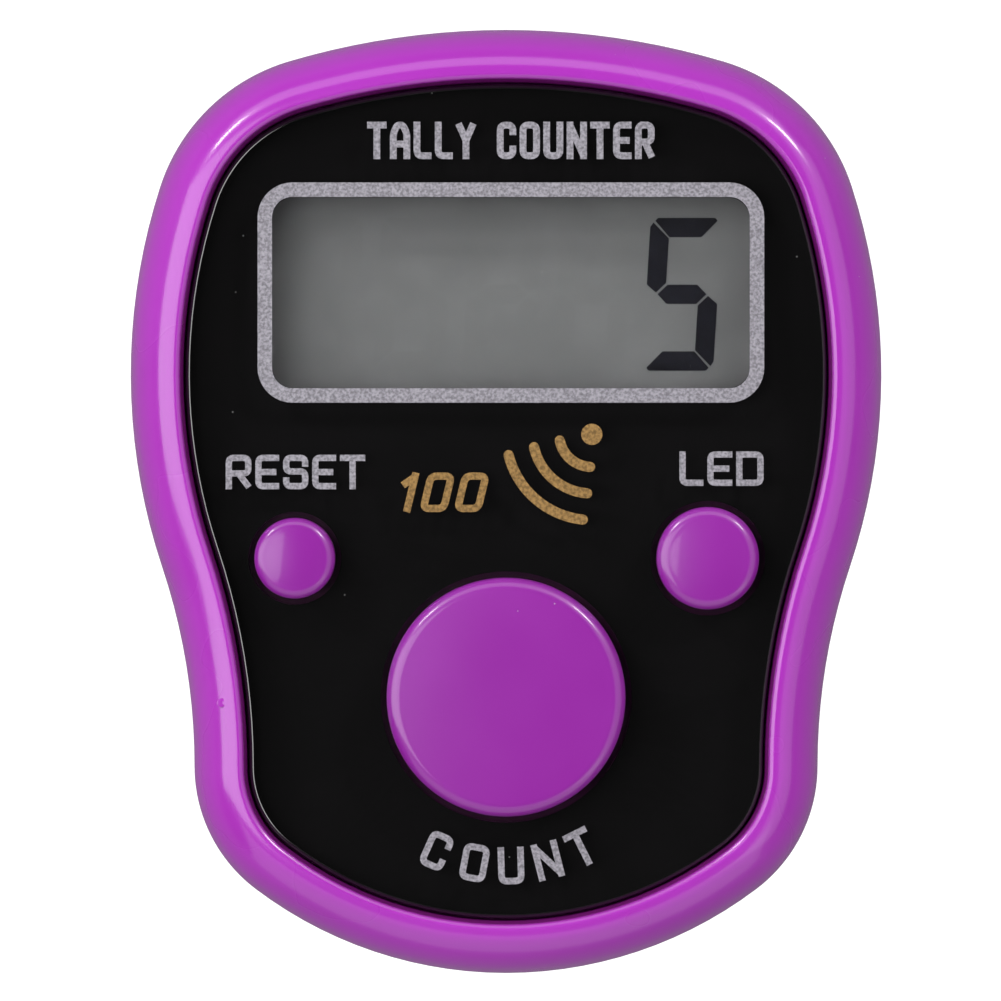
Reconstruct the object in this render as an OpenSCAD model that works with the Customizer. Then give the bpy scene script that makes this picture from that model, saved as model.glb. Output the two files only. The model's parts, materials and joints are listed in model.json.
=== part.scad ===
// Electronic hand tally counter worn on a finger: a two-shell case with a printed face panel,
// a five-digit liquid crystal display, three push buttons, a coin-slot battery door and a soft band.
// The face looks up (+Z), the top of the display is towards +Y, and the band rests on z = 0.

/* [Case outline] */
// Widest width of the case
body_w = 31.2; // [28:0.1:36]
// Length of the case
body_l = 39.2; // [36:0.1:46]
// Width of the lower part, below the waist
lower_w = 25.9; // [23:0.1:28]
// Height of the widest place above the middle
widest_y = 5.3; // [4:0.1:7]
// Where the lower sides turn into the foot corners
lower_y = -11; // [-13:0.1:-10]
// Radius of the long arc over the top
crown_r = 31.8; // [28:0.1:40]
// Radius of the two shoulders
shoulder_r = 8; // [6:0.1:9]
// Radius of the bulging upper sides
side_r = 25.3; // [22:0.1:30]
// Radius of the two foot corners
foot_r = 6.4; // [5:0.1:7]

/* [Case section] */
// Thickness of the case, from its back face to the crest of the rim
body_h = 13; // [12.6:0.1:16]
// Height of the parting line above the back face
parting_h = 6.2; // [5:0.1:6.6]
// Side wall thickness
wall = 1.4; // [1.2:0.1:1.7]
// Thickness of the back shell's floor
back_t = 1.2; // [1.1:0.05:1.4]
// Thickness of the front shell's floor, under the panel
floor_t = 1; // [0.8:0.05:1.2]
// Width of the rim at the bottom of its inner wall
rim_w = 2.15; // [2:0.05:2.5]
// Depth of the panel's face below the crest of the rim
recess_depth = 0.9; // [0.6:0.05:1.2]
// Reach of the rounding round the back face
back_round = 3; // [2.6:0.1:3.2]

/* [Face panel] */
// Thickness of the clear acrylic panel
panel_t = 0.75; // [0.6:0.05:1]
// Gap all round between the panel and the rim
panel_gap = 0.15; // [0.1:0.05:0.25]
// Thickness of the black ink behind the panel
mask_t = 0.05; // [0.04:0.01:0.08]
// Thickness of the double-sided tape under the panel
tape_t = 0.1; // [0.08:0.01:0.15]
// Width of the tape
tape_w = 1.2; // [1:0.1:1.5]

/* [Display] */
// Width of the clear window
window_w = 19.8; // [17:0.1:20.4]
// Height of the clear window
window_l = 7.9; // [6.5:0.1:8]
// Corner radius of the window
window_r = 0.9; // [0.5:0.1:1.5]
// Sideways place of the window
window_x = 0.2; // [-0.3:0.05:0.3]
// Place of the window above the middle
window_y = 8.65; // [8.3:0.05:8.8]
// Thickness of one glass plate of the display
glass_t = 0.55; // [0.4:0.05:0.7]
// Thickness of each polarising film
film_t = 0.15; // [0.1:0.01:0.2]

/* [Buttons] */
// Diameter of the count button
count_d = 9.9; // [8:0.1:10.4]
// Place of the count button below the middle
count_y = -8.1; // [-8.6:0.1:-7.6]
// Height of the count button above the panel
count_rise = 1.2; // [0.8:0.1:2]
// Travel of the count button
count_travel = 0.7; // [0.4:0.05:0.8]
// Diameter of the reset button
reset_d = 3.35; // [3:0.05:4]
// Sideways place of the reset button
reset_x = -8.75; // [-9:0.05:-8.4]
// Diameter of the light button
led_d = 4.25; // [3.4:0.05:4.6]
// Sideways place of the light button
led_x = 8.35; // [8.2:0.05:8.9]
// Place of both small buttons below the middle
small_y = -2.35; // [-2.8:0.05:-2]
// Height of the small buttons above the panel
small_rise = 0.85; // [0.5:0.05:1.2]
// Travel of the small buttons
small_travel = 0.5; // [0.3:0.05:0.6]
// Radial gap between a button and its hole
button_gap = 0.25; // [0.15:0.05:0.4]

/* [Battery] */
// Diameter of a button cell
cell_d = 11.6; // [10:0.1:12]
// Thickness of a button cell
cell_h = 3.05; // [2.6:0.05:3.1]
// Place of the battery below the middle
battery_y = -6; // [-6.4:0.1:-5.6]
// Angle that the battery door turns to open
door_turn = 50; // [40:1:60]

/* [Finger band] */
// Height of the band's loop below the back face
strap_h = 17.5; // [15:0.1:20]
// Width of the band
strap_w = 9; // [7:0.1:9.4]
// Thickness of the band
strap_t = 1.5; // [1.2:0.05:1.8]
// Radius of the loop's lower corners, at the middle of the band
loop_r = 6.5; // [5:0.1:7.5]
// Sideways place of the two hinge pins
pin_x = 11.2; // [10.4:0.1:11.4]
// Drop of the hinge pins below the back face
pin_drop = 2.2; // [2:0.05:2.6]
// Diameter of the hinge pins
pin_d = 1.2; // [1:0.05:1.4]
// Distance between the band's holes
hole_pitch = 3.6; // [3.2:0.1:4]
// Diameter of the band's holes
hole_d = 2.2; // [2.1:0.05:2.6]
// Angle between the clasp tab hanging free and the clasp tab buttoned into the band
close_turn = 12; // [11:0.5:13]

/* [Hidden] */

$fn = 48;
chord_error = 0.03;  // how far the outline's straight facets stray from its arcs
eps = 0.01;

// Colours
shell_colour = [0.68, 0.22, 0.74];
panel_colour = [0.75, 0.8, 0.85, 0.4];
black = [0.03, 0.03, 0.035];
rubber_grey = [0.6, 0.6, 0.62];
board_green = [0.08, 0.35, 0.18];
steel = [0.75, 0.76, 0.78];
brass = [0.8, 0.65, 0.3];
glass_colour = [0.7, 0.8, 0.78, 0.4];

// Heights above the back face, from the front downwards
panel_top = body_h - recess_depth;
panel_z = panel_top - panel_t;
mask_z = panel_z - mask_t;
floor_top = mask_z - tape_t;
floor_z = floor_top - floor_t;      // the display and the button flanges lie under this face
film_z = floor_z - film_t;
front_glass_z = film_z - glass_t;
rear_glass_z = front_glass_z - glass_t;
reflector_z = rear_glass_z - film_t;
light_t = 0.35;
touch_gap = 0.05;                   // between faces that slide or press on each other
board_top = reflector_z - light_t - touch_gap;
board_t = 0.8;
board_z = board_top - board_t;

// Outline: six tangent arcs on each side, each [centre x, centre y, radius, 1 convex or -1 hollow]
function direction(a, b) = atan2(b[1] - a[1], b[0] - a[0]);
crown = [0, body_l / 2 - crown_r, crown_r, 1];
side = [body_w / 2 - side_r, widest_y, side_r, 1];
shoulder = inner_touching(crown, side, shoulder_r);
step_in = (body_w - lower_w) / 2;
side_drop = widest_y - lower_y;
waist_r = (side_drop * side_drop + step_in * step_in) / (2 * step_in) - side_r;
waist = [lower_w / 2 + waist_r, lower_y, waist_r, -1];
foot = [lower_w / 2 - foot_r, lower_y, foot_r, 1];
foot_rise = lower_y + body_l / 2;
base_r = (foot[0] * foot[0] + foot_rise * foot_rise - foot_r * foot_r) / (2 * (foot_rise - foot_r));
base = [0, base_r - body_l / 2, base_r, 1];

// The circle of radius r that touches circles a and b from inside, on the side away from the middle
function inner_touching(a, b, r) =
    let (
        ra = a[2] - r,
        rb = b[2] - r,
        d = norm([b[0] - a[0], b[1] - a[1]]),
        along = (ra * ra - rb * rb + d * d) / (2 * d),
        across = sqrt(ra * ra - along * along),
        ux = (b[0] - a[0]) / d,
        uy = (b[1] - a[1]) / d
    )
    [a[0] + along * ux + across * uy, a[1] + along * uy - across * ux, r, 1];

// Each run: an arc and its first and last angle, going clockwise from the top middle
runs = [
    [crown, 90, direction(crown, shoulder)],
    [shoulder, direction(crown, shoulder), direction(side, shoulder)],
    [side, direction(side, shoulder), direction(side, waist)],
    [waist, direction(waist, side), 180],
    [foot, 0, direction(base, foot)],
    [base, direction(base, foot), -90]
];
function steps(r, sweep) = ceil(abs(sweep) / (2 * acos(1 - chord_error / r)));
function run_points(run, inset) =
    let (
        c = run[0],
        sweep = run[1] - run[2],
        n = steps(c[2], sweep),
        r = c[2] - c[3] * inset
    )
    [for (i = [0:n - 1]) let (a = run[1] - sweep * i / n) [c[0] + r * cos(a), c[1] + r * sin(a)]];
function half_outline(inset) = [for (run = runs) each run_points(run, inset)];
// The whole outline, moved inwards by inset, anticlockwise from the top middle
function outline(inset) =
    let (
        right = half_outline(inset),
        left = [for (p = right) if (p[0] > eps) [-p[0], p[1]]],
        n = len(right),
        bottom = [[0, inset - body_l / 2]]
    )
    concat([right[0]], left, bottom, [for (i = [n - 1:-1:1]) right[i]]);

// A closed solid whose skin follows the outline: sections is a list of [inset, height], from the
// middle of one flat face, over the edge, to the middle of the other
module outline_solid(sections) {
    n = len(outline(0));
    count = len(sections);
    rings = [for (s = sections) for (p = outline(s[0])) [p[0], p[1], s[1]]];
    points = concat(rings, [[0, 0, sections[0][1]], [0, 0, sections[count - 1][1]]]);
    first = n * count;
    last = first + 1;
    sides = [
        for (k = [0:count - 2], i = [0:n - 1])
            let (j = (i + 1) % n, a = k * n, b = a + n)
            each [[a + i, b + j, a + j], [a + i, b + i, b + j]]
    ];
    caps = [
        for (i = [0:n - 1])
            let (j = (i + 1) % n, top = n * (count - 1))
            each [[first, i, j], [last, top + j, top + i]]
    ];
    polyhedron(points, concat(sides, caps));
}

module on_case() {
    translate([0, 0, strap_h])
        children();
}

module flat_outline(inset, z, height) {
    translate([0, 0, z])
        linear_extrude(height)
            polygon(outline(inset));
}

module rounded_block(w, l, r, z, height) {
    translate([0, 0, z])
        linear_extrude(height)
            union() {
                square([w - 2 * r, l], center = true);
                square([w, l - 2 * r], center = true);
                for (sx = [-1, 1], sy = [-1, 1])
                    translate([sx * (w / 2 - r), sy * (l / 2 - r)])
                        circle(r);
            }
}

module tube(outer_r, inner_r, z, height) {
    translate([0, 0, z])
        difference() {
            cylinder(r = outer_r, h = height);
            translate([0, 0, -eps])
                cylinder(r = inner_r, h = height + 2 * eps);
        }
}

module block(x0, x1, y0, y1, z0, z1) {
    translate([x0, y0, z0])
        cube([x1 - x0, y1 - y0, z1 - z0]);
}

// Screw places
case_screw_r = 0.7;
case_screw_head_r = 1.5;
case_screw_head_h = 0.9;
case_screw_l = 5.6;
pillar_foot = 0.9;
seat_z = 1.6;                        // the seat that a screw head pulls against
pillar_top = 2.6;                    // where a back shell pillar meets a front shell boss
pillar_r = 2.1;
boss_r = 1.45;
upper_boss_reach = shoulder_r - wall - 0.1 - boss_r;
upper_boss = [shoulder[0] + upper_boss_reach * cos(61), shoulder[1] + upper_boss_reach * sin(61)];
lower_boss = [foot[0] + 1.5, foot[1] - 2.2];
case_screw_places = [for (p = [upper_boss, lower_boss], s = [-1, 1]) [s * p[0], p[1]]];
board_screw_r = 0.5;
board_screw_head_r = 1.1;
board_screw_head_h = 0.6;
post_r = 1.3;
flange_reach = 0.55;                 // how far a button's flange reaches past its cap
post_x = body_w / 2 - wall - 2.3;
board_screw_places = [
    [-post_x, 1.4],
    [post_x, 1.4],
    [0, body_l / 2 - 3.4],
    [0, min(3.7 - body_l / 2, count_y - count_d / 2 - flange_reach - 0.3 - post_r)]
];

// Display sizes: the front glass is longer than the rear one, which leaves a ledge of contacts
glass_margin_x = 1.1;
glass_top = window_y + window_l / 2 + 0.8;
rear_glass_bottom = window_y - window_l / 2 - 0.2;
ledge = 1.6;
glass_bottom = rear_glass_bottom - ledge;
glass_x0 = window_x - window_w / 2 - glass_margin_x;
glass_x1 = window_x + window_w / 2 + glass_margin_x;
pocket_gap = 0.1;
pocket_wall = 0.8;

// Buttons: [x, y, cap radius, rise above the panel, travel]
count_key = [0, count_y, count_d / 2, count_rise, count_travel];
reset_key = [reset_x, small_y, reset_d / 2, small_rise, small_travel];
led_key = [led_x, small_y, led_d / 2, small_rise, small_travel];
keys = [count_key, reset_key, led_key];
pill_t = 0.2;
dome_top_t = 0.3;
web_t = 0.35;
function pill_z(key) = board_top + key[4] + touch_gap;
function dome_top(key) = pill_z(key) + pill_t + dome_top_t;
function dome_base_r(key) = max(key[2] * 0.68, 1.35);
function dome_top_r(key) = dome_base_r(key) - 0.55;

module front_cover() {
    crest = rim_w - 0.55;
    color(shell_colour)
        on_case()
            union() {
                difference() {
                    outline_solid([
                        [wall, floor_z],
                        [wall, parting_h + 1.1],
                        [wall - 0.65, parting_h + 1.1],
                        [wall - 0.65, parting_h],
                        [0.12, parting_h],
                        [0, parting_h + 0.15],
                        [0, body_h - 3.4],
                        [crest * 0.06, body_h - 2.4],
                        [crest * 0.2, body_h - 1.55],
                        [crest * 0.42, body_h - 0.8],
                        [crest * 0.7, body_h - 0.25],
                        [crest, body_h],
                        [crest + 0.22, body_h - 0.1],
                        [crest + 0.34, body_h - 0.35],
                        [rim_w, floor_top]
                    ]);
                    translate([window_x, window_y])
                        rounded_block(window_w + 1.2, window_l + 1.2, window_r + 0.3, floor_z - 1, floor_t + 2);
                    for (k = keys)
                        translate([k[0], k[1], floor_z - 1])
                            cylinder(r = k[2] + button_gap, h = floor_t + 2);
                }
                display_pocket();
                for (p = case_screw_places)
                    translate(p)
                        tube(boss_r, case_screw_r, pillar_top, floor_z + 0.3 - pillar_top);
                for (p = board_screw_places)
                    translate(p)
                        tube(post_r, board_screw_r, board_top, floor_z + 0.3 - board_top);
            }
}

// Ribs that locate the display glass under the floor, with a gap where the lamp shines in
module display_pocket() {
    out = pocket_gap + pocket_wall;
    bottom = board_top + 0.2;
    difference() {
        block(glass_x0 - out, glass_x1 + out, glass_bottom - out, glass_top + out, bottom, floor_z + 0.3);
        block(glass_x0 - pocket_gap, glass_x1 + pocket_gap, glass_bottom - pocket_gap,
              glass_top + pocket_gap, bottom - 1, floor_z + 1);
        block(glass_x0 - out - 1, glass_x0, window_y - 1.4, window_y + 1.4, bottom - 1, floor_z);
    }
}

// Battery door sizes
door_r = cell_d / 2 + 0.7;
door_gap = 0.1;
tab_reach = 0.9;
tab_sweep = 34;
tab_z = back_t + touch_gap;
tab_t = 0.55;
door_t = 1;

module sector(r, sweep, z, height) {
    translate([0, 0, z])
        rotate_extrude(angle = sweep, start = -sweep / 2)
            square([r, height]);
}

module back_cover() {
    color(shell_colour)
        on_case()
            difference() {
                union() {
                    outline_solid([
                        [back_round, 0],
                        [back_round * 0.62, back_round * 0.1],
                        [back_round * 0.36, back_round * 0.3],
                        [back_round * 0.16, back_round * 0.6],
                        [back_round * 0.05, back_round * 0.95],
                        [0, back_round + 1.2],
                        [0, parting_h - 0.15],
                        [0.12, parting_h],
                        [wall - 0.6, parting_h],
                        [wall - 0.6, parting_h + 1],
                        [wall, parting_h + 1],
                        [wall, back_t + 1.6],
                        [wall + 0.5, back_t + 0.6],
                        [wall + 1.5, back_t]
                    ]);
                    for (p = case_screw_places)
                        translate([p[0], p[1], pillar_foot]) {
                            cylinder(r1 = case_screw_head_r + 0.25, r2 = pillar_r, h = seat_z - pillar_foot);
                            cylinder(r = case_screw_head_r + 0.25, h = pillar_top - pillar_foot);
                            translate([0, 0, seat_z - pillar_foot])
                                cylinder(r = pillar_r, h = pillar_top - seat_z);
                        }
                    translate([0, buzzer_y])
                        tube(buzzer_r + 0.3, buzzer_r - 0.8, back_t / 2, back_t / 2 + buzzer_ledge);
                    for (sx = [-1, 1], sy = [-1, 1])
                        lug(sx, sy);
                }
                translate([0, battery_y, -1])
                    cylinder(r = door_r + door_gap, h = back_t + 2);
                translate([0, battery_y])
                    for (a = [0, 180])
                        rotate(a - door_turn)
                            sector(door_r + tab_reach + 2 * door_gap, tab_sweep + 8, -1, back_t + 2);
                for (p = case_screw_places)
                    translate(p) {
                        translate([0, 0, -1])
                            cylinder(r = case_screw_head_r + 0.15, h = 1 + seat_z);
                        cylinder(r = case_screw_r + 0.15, h = pillar_top + 1);
                    }
                for (sx = [-1, 1])
                    translate([sx * pin_x, 0, -pin_drop])
                        rotate([90, 0, 0])
                            cylinder(r = pin_d / 2, h = 2 * lug_outer + 2, center = true);
                translate([0, buzzer_y, -1])
                    for (i = [0:6])
                        rotate(i * 60)
                            translate([i == 6 ? 0 : sound_hole_circle, 0])
                                cylinder(r = sound_hole_r, h = back_t + 2);
            }
}

// Lug sizes: an ear on each side of the band's end
lug_gap = 0.2;
lug_t = 1.5;
lug_r = 1.7;
lug_root = 2.4;                      // the ears run up into the shell as far as this
lug_inner = strap_w / 2 + lug_gap;
lug_outer = lug_inner + lug_t;

module lug(sx, sy) {
    translate([sx * pin_x, sy * (lug_inner + lug_t / 2), 0]) {
        translate([0, 0, -pin_drop])
            rotate([90, 0, 0])
                cylinder(r = lug_r, h = lug_t, center = true);
        block(-lug_r, lug_r, -lug_t / 2, lug_t / 2, -pin_drop, lug_root);
    }
}

module cross_head_screw(head_r, head_h, shank_r, shank_l) {
    slot = head_r * 0.32;
    difference() {
        union() {
            cylinder(r = head_r, h = head_h);
            cylinder(r = shank_r, h = head_h + shank_l);
        }
        for (a = [0, 90])
            rotate(a)
                translate([0, 0, head_h * 0.2])
                    cube([head_r * 1.3, slot, head_h], center = true);
    }
}

module case_screws() {
    color(steel)
        on_case()
            for (p = case_screw_places)
                translate([p[0], p[1], seat_z - case_screw_head_h])
                    cross_head_screw(case_screw_head_r, case_screw_head_h, case_screw_r, case_screw_l);
}

module board_screws() {
    color(steel)
        on_case()
            for (p = board_screw_places)
                translate([p[0], p[1], board_z - board_screw_head_h])
                    cross_head_screw(board_screw_head_r, board_screw_head_h, board_screw_r, board_t + 1.4);
}

module button_holes(z, height) {
    for (k = keys)
        translate([k[0], k[1], z])
            cylinder(r = k[2] + button_gap, h = height);
}

panel_inset = rim_w + panel_gap;

module face_panel() {
    color(panel_colour)
        on_case()
            difference() {
                outline_solid([
                    [panel_inset, panel_z],
                    [panel_inset, panel_top - 0.15],
                    [panel_inset + 0.15, panel_top]
                ]);
                button_holes(panel_z - 1, panel_t + 2);
            }
}

module panel_mask() {
    color(black)
        on_case()
            difference() {
                flat_outline(panel_inset + 0.05, mask_z, mask_t);
                translate([window_x, window_y])
                    rounded_block(window_w, window_l, window_r, mask_z - 1, 2);
                button_holes(mask_z - 1, 2);
            }
}

module panel_tape() {
    color([0.15, 0.15, 0.15])
        on_case()
            difference() {
                flat_outline(panel_inset + 0.1, floor_top, tape_t);
                flat_outline(panel_inset + 0.1 + tape_w, floor_top - 1, 2);
                button_holes(floor_top - 1, 2);
            }
}

module display_front_film() {
    color([0.45, 0.5, 0.48, 0.6])
        on_case()
            block(glass_x0 + 0.2, glass_x1 - 0.2, rear_glass_bottom + 0.1, glass_top - 0.1, film_z, floor_z);
}

module display_front_glass() {
    color(glass_colour)
        on_case()
            block(glass_x0, glass_x1, glass_bottom, glass_top, front_glass_z, film_z);
}

module display_rear_glass() {
    color(glass_colour)
        on_case()
            block(glass_x0, glass_x1, rear_glass_bottom, glass_top, rear_glass_z, front_glass_z);
}

module display_reflector() {
    color([0.6, 0.64, 0.6])
        on_case()
            block(glass_x0 + 0.2, glass_x1 - 0.2, rear_glass_bottom + 0.1, glass_top - 0.1,
                  reflector_z, rear_glass_z);
}

module backlight_plate() {
    color([0.9, 0.95, 1, 0.5])
        on_case()
            block(glass_x0 + 0.1, glass_x1 - 0.1, rear_glass_bottom + 0.2, glass_top - 0.2,
                  board_top + touch_gap, board_top + touch_gap + light_t - 0.02);
}

// A small side-firing lamp beside the backlight plate
module backlight_led() {
    color([0.95, 0.93, 0.85])
        on_case() {
            block(glass_x0 - 1.7, glass_x0 - 0.9, window_y - 0.8, window_y + 0.8, board_top, board_top + 0.7);
            block(glass_x0 - 0.9, glass_x0 - 0.5, window_y - 0.5, window_y + 0.5, board_top, board_top + 0.5);
        }
}

// Striped rubber that joins the board to the glass ledge
module contact_rubber() {
    color(rubber_grey)
        on_case()
            block(glass_x0 + 0.8, glass_x1 - 0.8, glass_bottom + 0.15, rear_glass_bottom - 0.15,
                  board_top, front_glass_z);
}

module circuit_board() {
    color(board_green)
        on_case()
            difference() {
                flat_outline(wall + 0.35, board_z, board_t);
                for (p = case_screw_places)
                    translate([p[0], p[1], board_z - 1])
                        cylinder(r = boss_r + 0.25, h = board_t + 2);
                for (p = board_screw_places)
                    translate([p[0], p[1], board_z - 1])
                        cylinder(r = board_screw_r + 0.1, h = board_t + 2);
            }
}

// Resin drop over the counter chip, on the back of the board
module chip_blob() {
    blob_r = 3.6;
    blob_h = 1.1;
    ball_r = (blob_r * blob_r + blob_h * blob_h) / (2 * blob_h);
    color(black)
        on_case()
            translate([0, buzzer_y, board_z])
                intersection() {
                    translate([0, 0, ball_r - blob_h])
                        sphere(r = ball_r);
                    translate([0, 0, -blob_h - 1])
                        cylinder(r = blob_r + 1, h = blob_h + 1);
                }
}

module timing_crystal() {
    can_r = 1;
    can_l = 6;
    color(steel)
        on_case()
            translate([-8.4, 3.4, board_z - can_r - touch_gap])
                rotate([-90, 0, 0]) {
                    cylinder(r = can_r, h = can_l);
                    for (s = [-1, 1])
                        translate([s * 0.4, 0, -1.2])
                            cylinder(r = 0.15, h = 1.2);
                }
}

module chip_resistors() {
    color([0.12, 0.12, 0.13])
        on_case()
            for (i = [0:3])
                translate([7.2, 4.4 + i * 1.7])
                    block(0, 1.6, 0, 0.8, board_z - 0.45, board_z);
}

// Silicone sheet that carries the three domes
module keypad_web() {
    color(rubber_grey)
        on_case()
            translate([0, 0, board_top])
                difference() {
                    linear_extrude(web_t)
                        hull()
                            for (k = keys)
                                translate([k[0], k[1]])
                                    circle(k[2] + 1.15);
                    for (k = keys)
                        translate([k[0], k[1], -1])
                            cylinder(r = dome_base_r(k), h = web_t + 2);
                    for (p = board_screw_places)
                        translate([p[0], p[1], -1])
                            cylinder(r = post_r + 0.2, h = web_t + 2);
                }
}

// A hollow rubber cone that buckles when its button is pressed
module dome(key) {
    base_r = dome_base_r(key);
    top_r = dome_top_r(key);
    top = dome_top(key) - board_top;
    skin = 0.25;
    color(rubber_grey)
        on_case()
            translate([key[0], key[1], board_top])
                rotate_extrude()
                    polygon([
                        [base_r, 0],
                        [base_r, web_t],
                        [top_r, top - 0.05],
                        [top_r - 0.05, top],
                        [0, top],
                        [0, top - dome_top_t],
                        [top_r - skin, top - dome_top_t],
                        [base_r - skin, web_t - 0.1],
                        [base_r - skin, 0]
                    ]);
}

module count_dome() { dome(count_key); }
module reset_dome() { dome(reset_key); }
module led_dome() { dome(led_key); }

// Carbon pill that closes the contact under a dome
module pill(key) {
    color(black)
        on_case()
            translate([key[0], key[1], pill_z(key)])
                cylinder(r = dome_top_r(key) - 0.3, h = pill_t);
}

module count_pill() { pill(count_key); }
module reset_pill() { pill(reset_key); }
module led_pill() { pill(led_key); }

// A lathe-turned cap with a rounded edge, a slightly crowned top and a flange under the floor
module button(key, edge_r, crown_h, hollow_r) {
    top = panel_top + key[3];
    foot_z = dome_top(key) + touch_gap;
    flange_top = floor_z - touch_gap;
    edge = [
        for (a = [0:15:90])
            [key[2] - edge_r + edge_r * cos(a), top - crown_h - edge_r + edge_r * sin(a)]
    ];
    color(shell_colour)
        on_case()
            translate([key[0], key[1]])
                difference() {
                    rotate_extrude()
                        polygon(concat(
                            [[0, foot_z], [key[2] + flange_reach - 0.1, foot_z]],
                            [[key[2] + flange_reach, foot_z + 0.1], [key[2] + flange_reach, flange_top]],
                            [[key[2], flange_top]],
                            edge,
                            [[(key[2] - edge_r) * 0.6, top - crown_h * 0.36], [0, top]]
                        ));
                    if (hollow_r > 0)
                        tube(hollow_r, 1.3, foot_z - 1, top - foot_z - 0.1);
                }
}

module count_button() { button(count_key, 0.55, 0.18, count_key[2] - 1.1); }
module reset_button() { button(reset_key, 0.45, 0.12, 0); }
module led_button() { button(led_key, 0.5, 0.12, 0); }

// Battery stack: two cells one on the other, positive side towards the door
outer_cell_z = door_t + 0.15 + touch_gap;
inner_cell_z = outer_cell_z + cell_h;
stack_top = inner_cell_z + cell_h;
holder_gap = 0.15;
holder_wall = 0.75;
holder_bottom = tab_z + tab_t + 0.25;

module at_battery() {
    on_case()
        translate([0, battery_y])
            children();
}

module cell(z) {
    cap_h = 0.3;
    color(steel)
        at_battery()
            translate([0, 0, z]) {
                cylinder(r = cell_d / 2, h = cell_h - cap_h);
                cylinder(r = cell_d / 2 - 1, h = cell_h);
            }
}

module outer_cell() { cell(outer_cell_z); }
module inner_cell() { cell(inner_cell_z); }

// Plastic ring behind the board that holds the cells
module battery_holder() {
    inner = cell_d / 2 + holder_gap;
    color([0.9, 0.9, 0.88])
        at_battery()
            difference() {
                tube(inner + holder_wall, inner, holder_bottom, board_z - holder_bottom);
                block(inner - 1, inner + 2, -1.2, 1.2, holder_bottom - 1, holder_bottom + 1.2);
            }
}

// Sprung leaf between the inner cell and the board
module negative_contact() {
    leaf_t = 0.15;
    color(steel)
        at_battery() {
            block(-4, 4, -0.9, 0.9, board_z - leaf_t, board_z);
            block(-0.9, 0.9, -4, 4, board_z - leaf_t, board_z);
            translate([0, 0, stack_top])
                cylinder(r = 1.2, h = board_z - stack_top);
        }
}

// Strip outside the holder, with a finger through its notch that touches the outer cell's side
module positive_contact() {
    strip_t = 0.15;
    strip_x = cell_d / 2 + holder_gap + holder_wall;
    finger_z = holder_bottom + 0.2;
    color(steel)
        at_battery() {
            block(strip_x, strip_x + strip_t, -0.9, 0.9, finger_z, board_z);
            block(cell_d / 2, strip_x + strip_t, -0.9, 0.9, finger_z, finger_z + strip_t);
            block(cell_d / 2, cell_d / 2 + strip_t, -0.9, 0.9, finger_z, finger_z + 0.8);
        }
}

module battery_door() {
    slot_l = 8;
    slot_w = 1.3;
    slot_depth = 0.5;
    collar_r = cell_d / 2 + holder_gap;
    color(shell_colour)
        at_battery()
            difference() {
                union() {
                    cylinder(r = door_r, h = door_t);
                    tube(door_r - 0.05, collar_r, door_t - eps, tab_z + tab_t - door_t + eps);
                    for (a = [0, 180])
                        rotate(a)
                            difference() {
                                sector(door_r + tab_reach, tab_sweep, tab_z, tab_t);
                                translate([0, 0, tab_z - 1])
                                    cylinder(r = collar_r, h = tab_t + 2);
                            }
                }
                block(-slot_l / 2, slot_l / 2, -slot_w / 2, slot_w / 2, -1, slot_depth);
            }
}

// Thin disc inside the door that spreads the spring load over the cell
module door_contact() {
    color(steel)
        at_battery()
            translate([0, 0, door_t])
                cylinder(r = cell_d / 2 - 1.2, h = 0.15);
}

// Buzzer: a thin brass plate with a ceramic disc, glued on a ledge over the sound holes
buzzer_y = 9.5;
buzzer_r = 6;
buzzer_ledge = 0.5;
sound_hole_r = 0.5;
sound_hole_circle = 2.2;
buzzer_z = back_t + buzzer_ledge;
plate_t = 0.2;
ceramic_t = 0.2;

module buzzer_plate() {
    color(brass)
        on_case()
            translate([0, buzzer_y, buzzer_z])
                cylinder(r = buzzer_r, h = plate_t);
}

module buzzer_crystal() {
    color([0.9, 0.88, 0.8])
        on_case()
            translate([0, buzzer_y, buzzer_z + plate_t])
                cylinder(r = buzzer_r - 1.8, h = ceramic_t);
}

// A round rod through a list of points, a little thicker where it bends
joint_swell = 1.15;

module rod(points, r) {
    for (i = [0:len(points) - 2]) {
        a = points[i];
        d = points[i + 1] - a;
        l = norm(d);
        translate(a)
            rotate([0, acos(d[2] / l), atan2(d[1], d[0])])
                cylinder(r = r, h = l, $fn = 16);
        translate(a)
            sphere(r = r * joint_swell, $fn = 16);
    }
}

module buzzer_wires() {
    wire_r = 0.22;
    lead_z = buzzer_z + plate_t;
    color([0.75, 0.1, 0.1])
        on_case()
            for (s = [-1, 1]) {
                start = [s * (buzzer_r - 0.9), buzzer_y, lead_z + wire_r * joint_swell];
                rod([
                    start,
                    [s * (buzzer_r + 0.6), buzzer_y + 1, lead_z + 1.4],
                    [s * (buzzer_r + 0.9), buzzer_y + 1.6, board_z - 1.2],
                    [s * (buzzer_r + 0.2), buzzer_y + 2, board_z - wire_r]
                ], wire_r);
            }
}

module hinge_pin(side_sign) {
    color(steel)
        on_case()
            translate([side_sign * pin_x, 0, -pin_drop])
                rotate([90, 0, 0])
                    cylinder(r = pin_d / 2, h = 2 * lug_outer, center = true);
}

module left_pin() { hinge_pin(-1); }
module right_pin() { hinge_pin(1); }

// Band: hinged on the left pin, round under the finger, and up beside the clasp tab
pin_z = strap_h - pin_drop;
knuckle_r = 1.5;
pin_clearance = 0.06;
tab_gap = 0.08;
tab_thick = 1.4;
tab_x = pin_x + knuckle_r - tab_thick;         // inner face of the clasp tab
tab_drop = 7;                                  // from the pin to the tab's tip
stud_drop = 5;                                 // from the pin to the stud
stud_r = 0.75;
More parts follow.
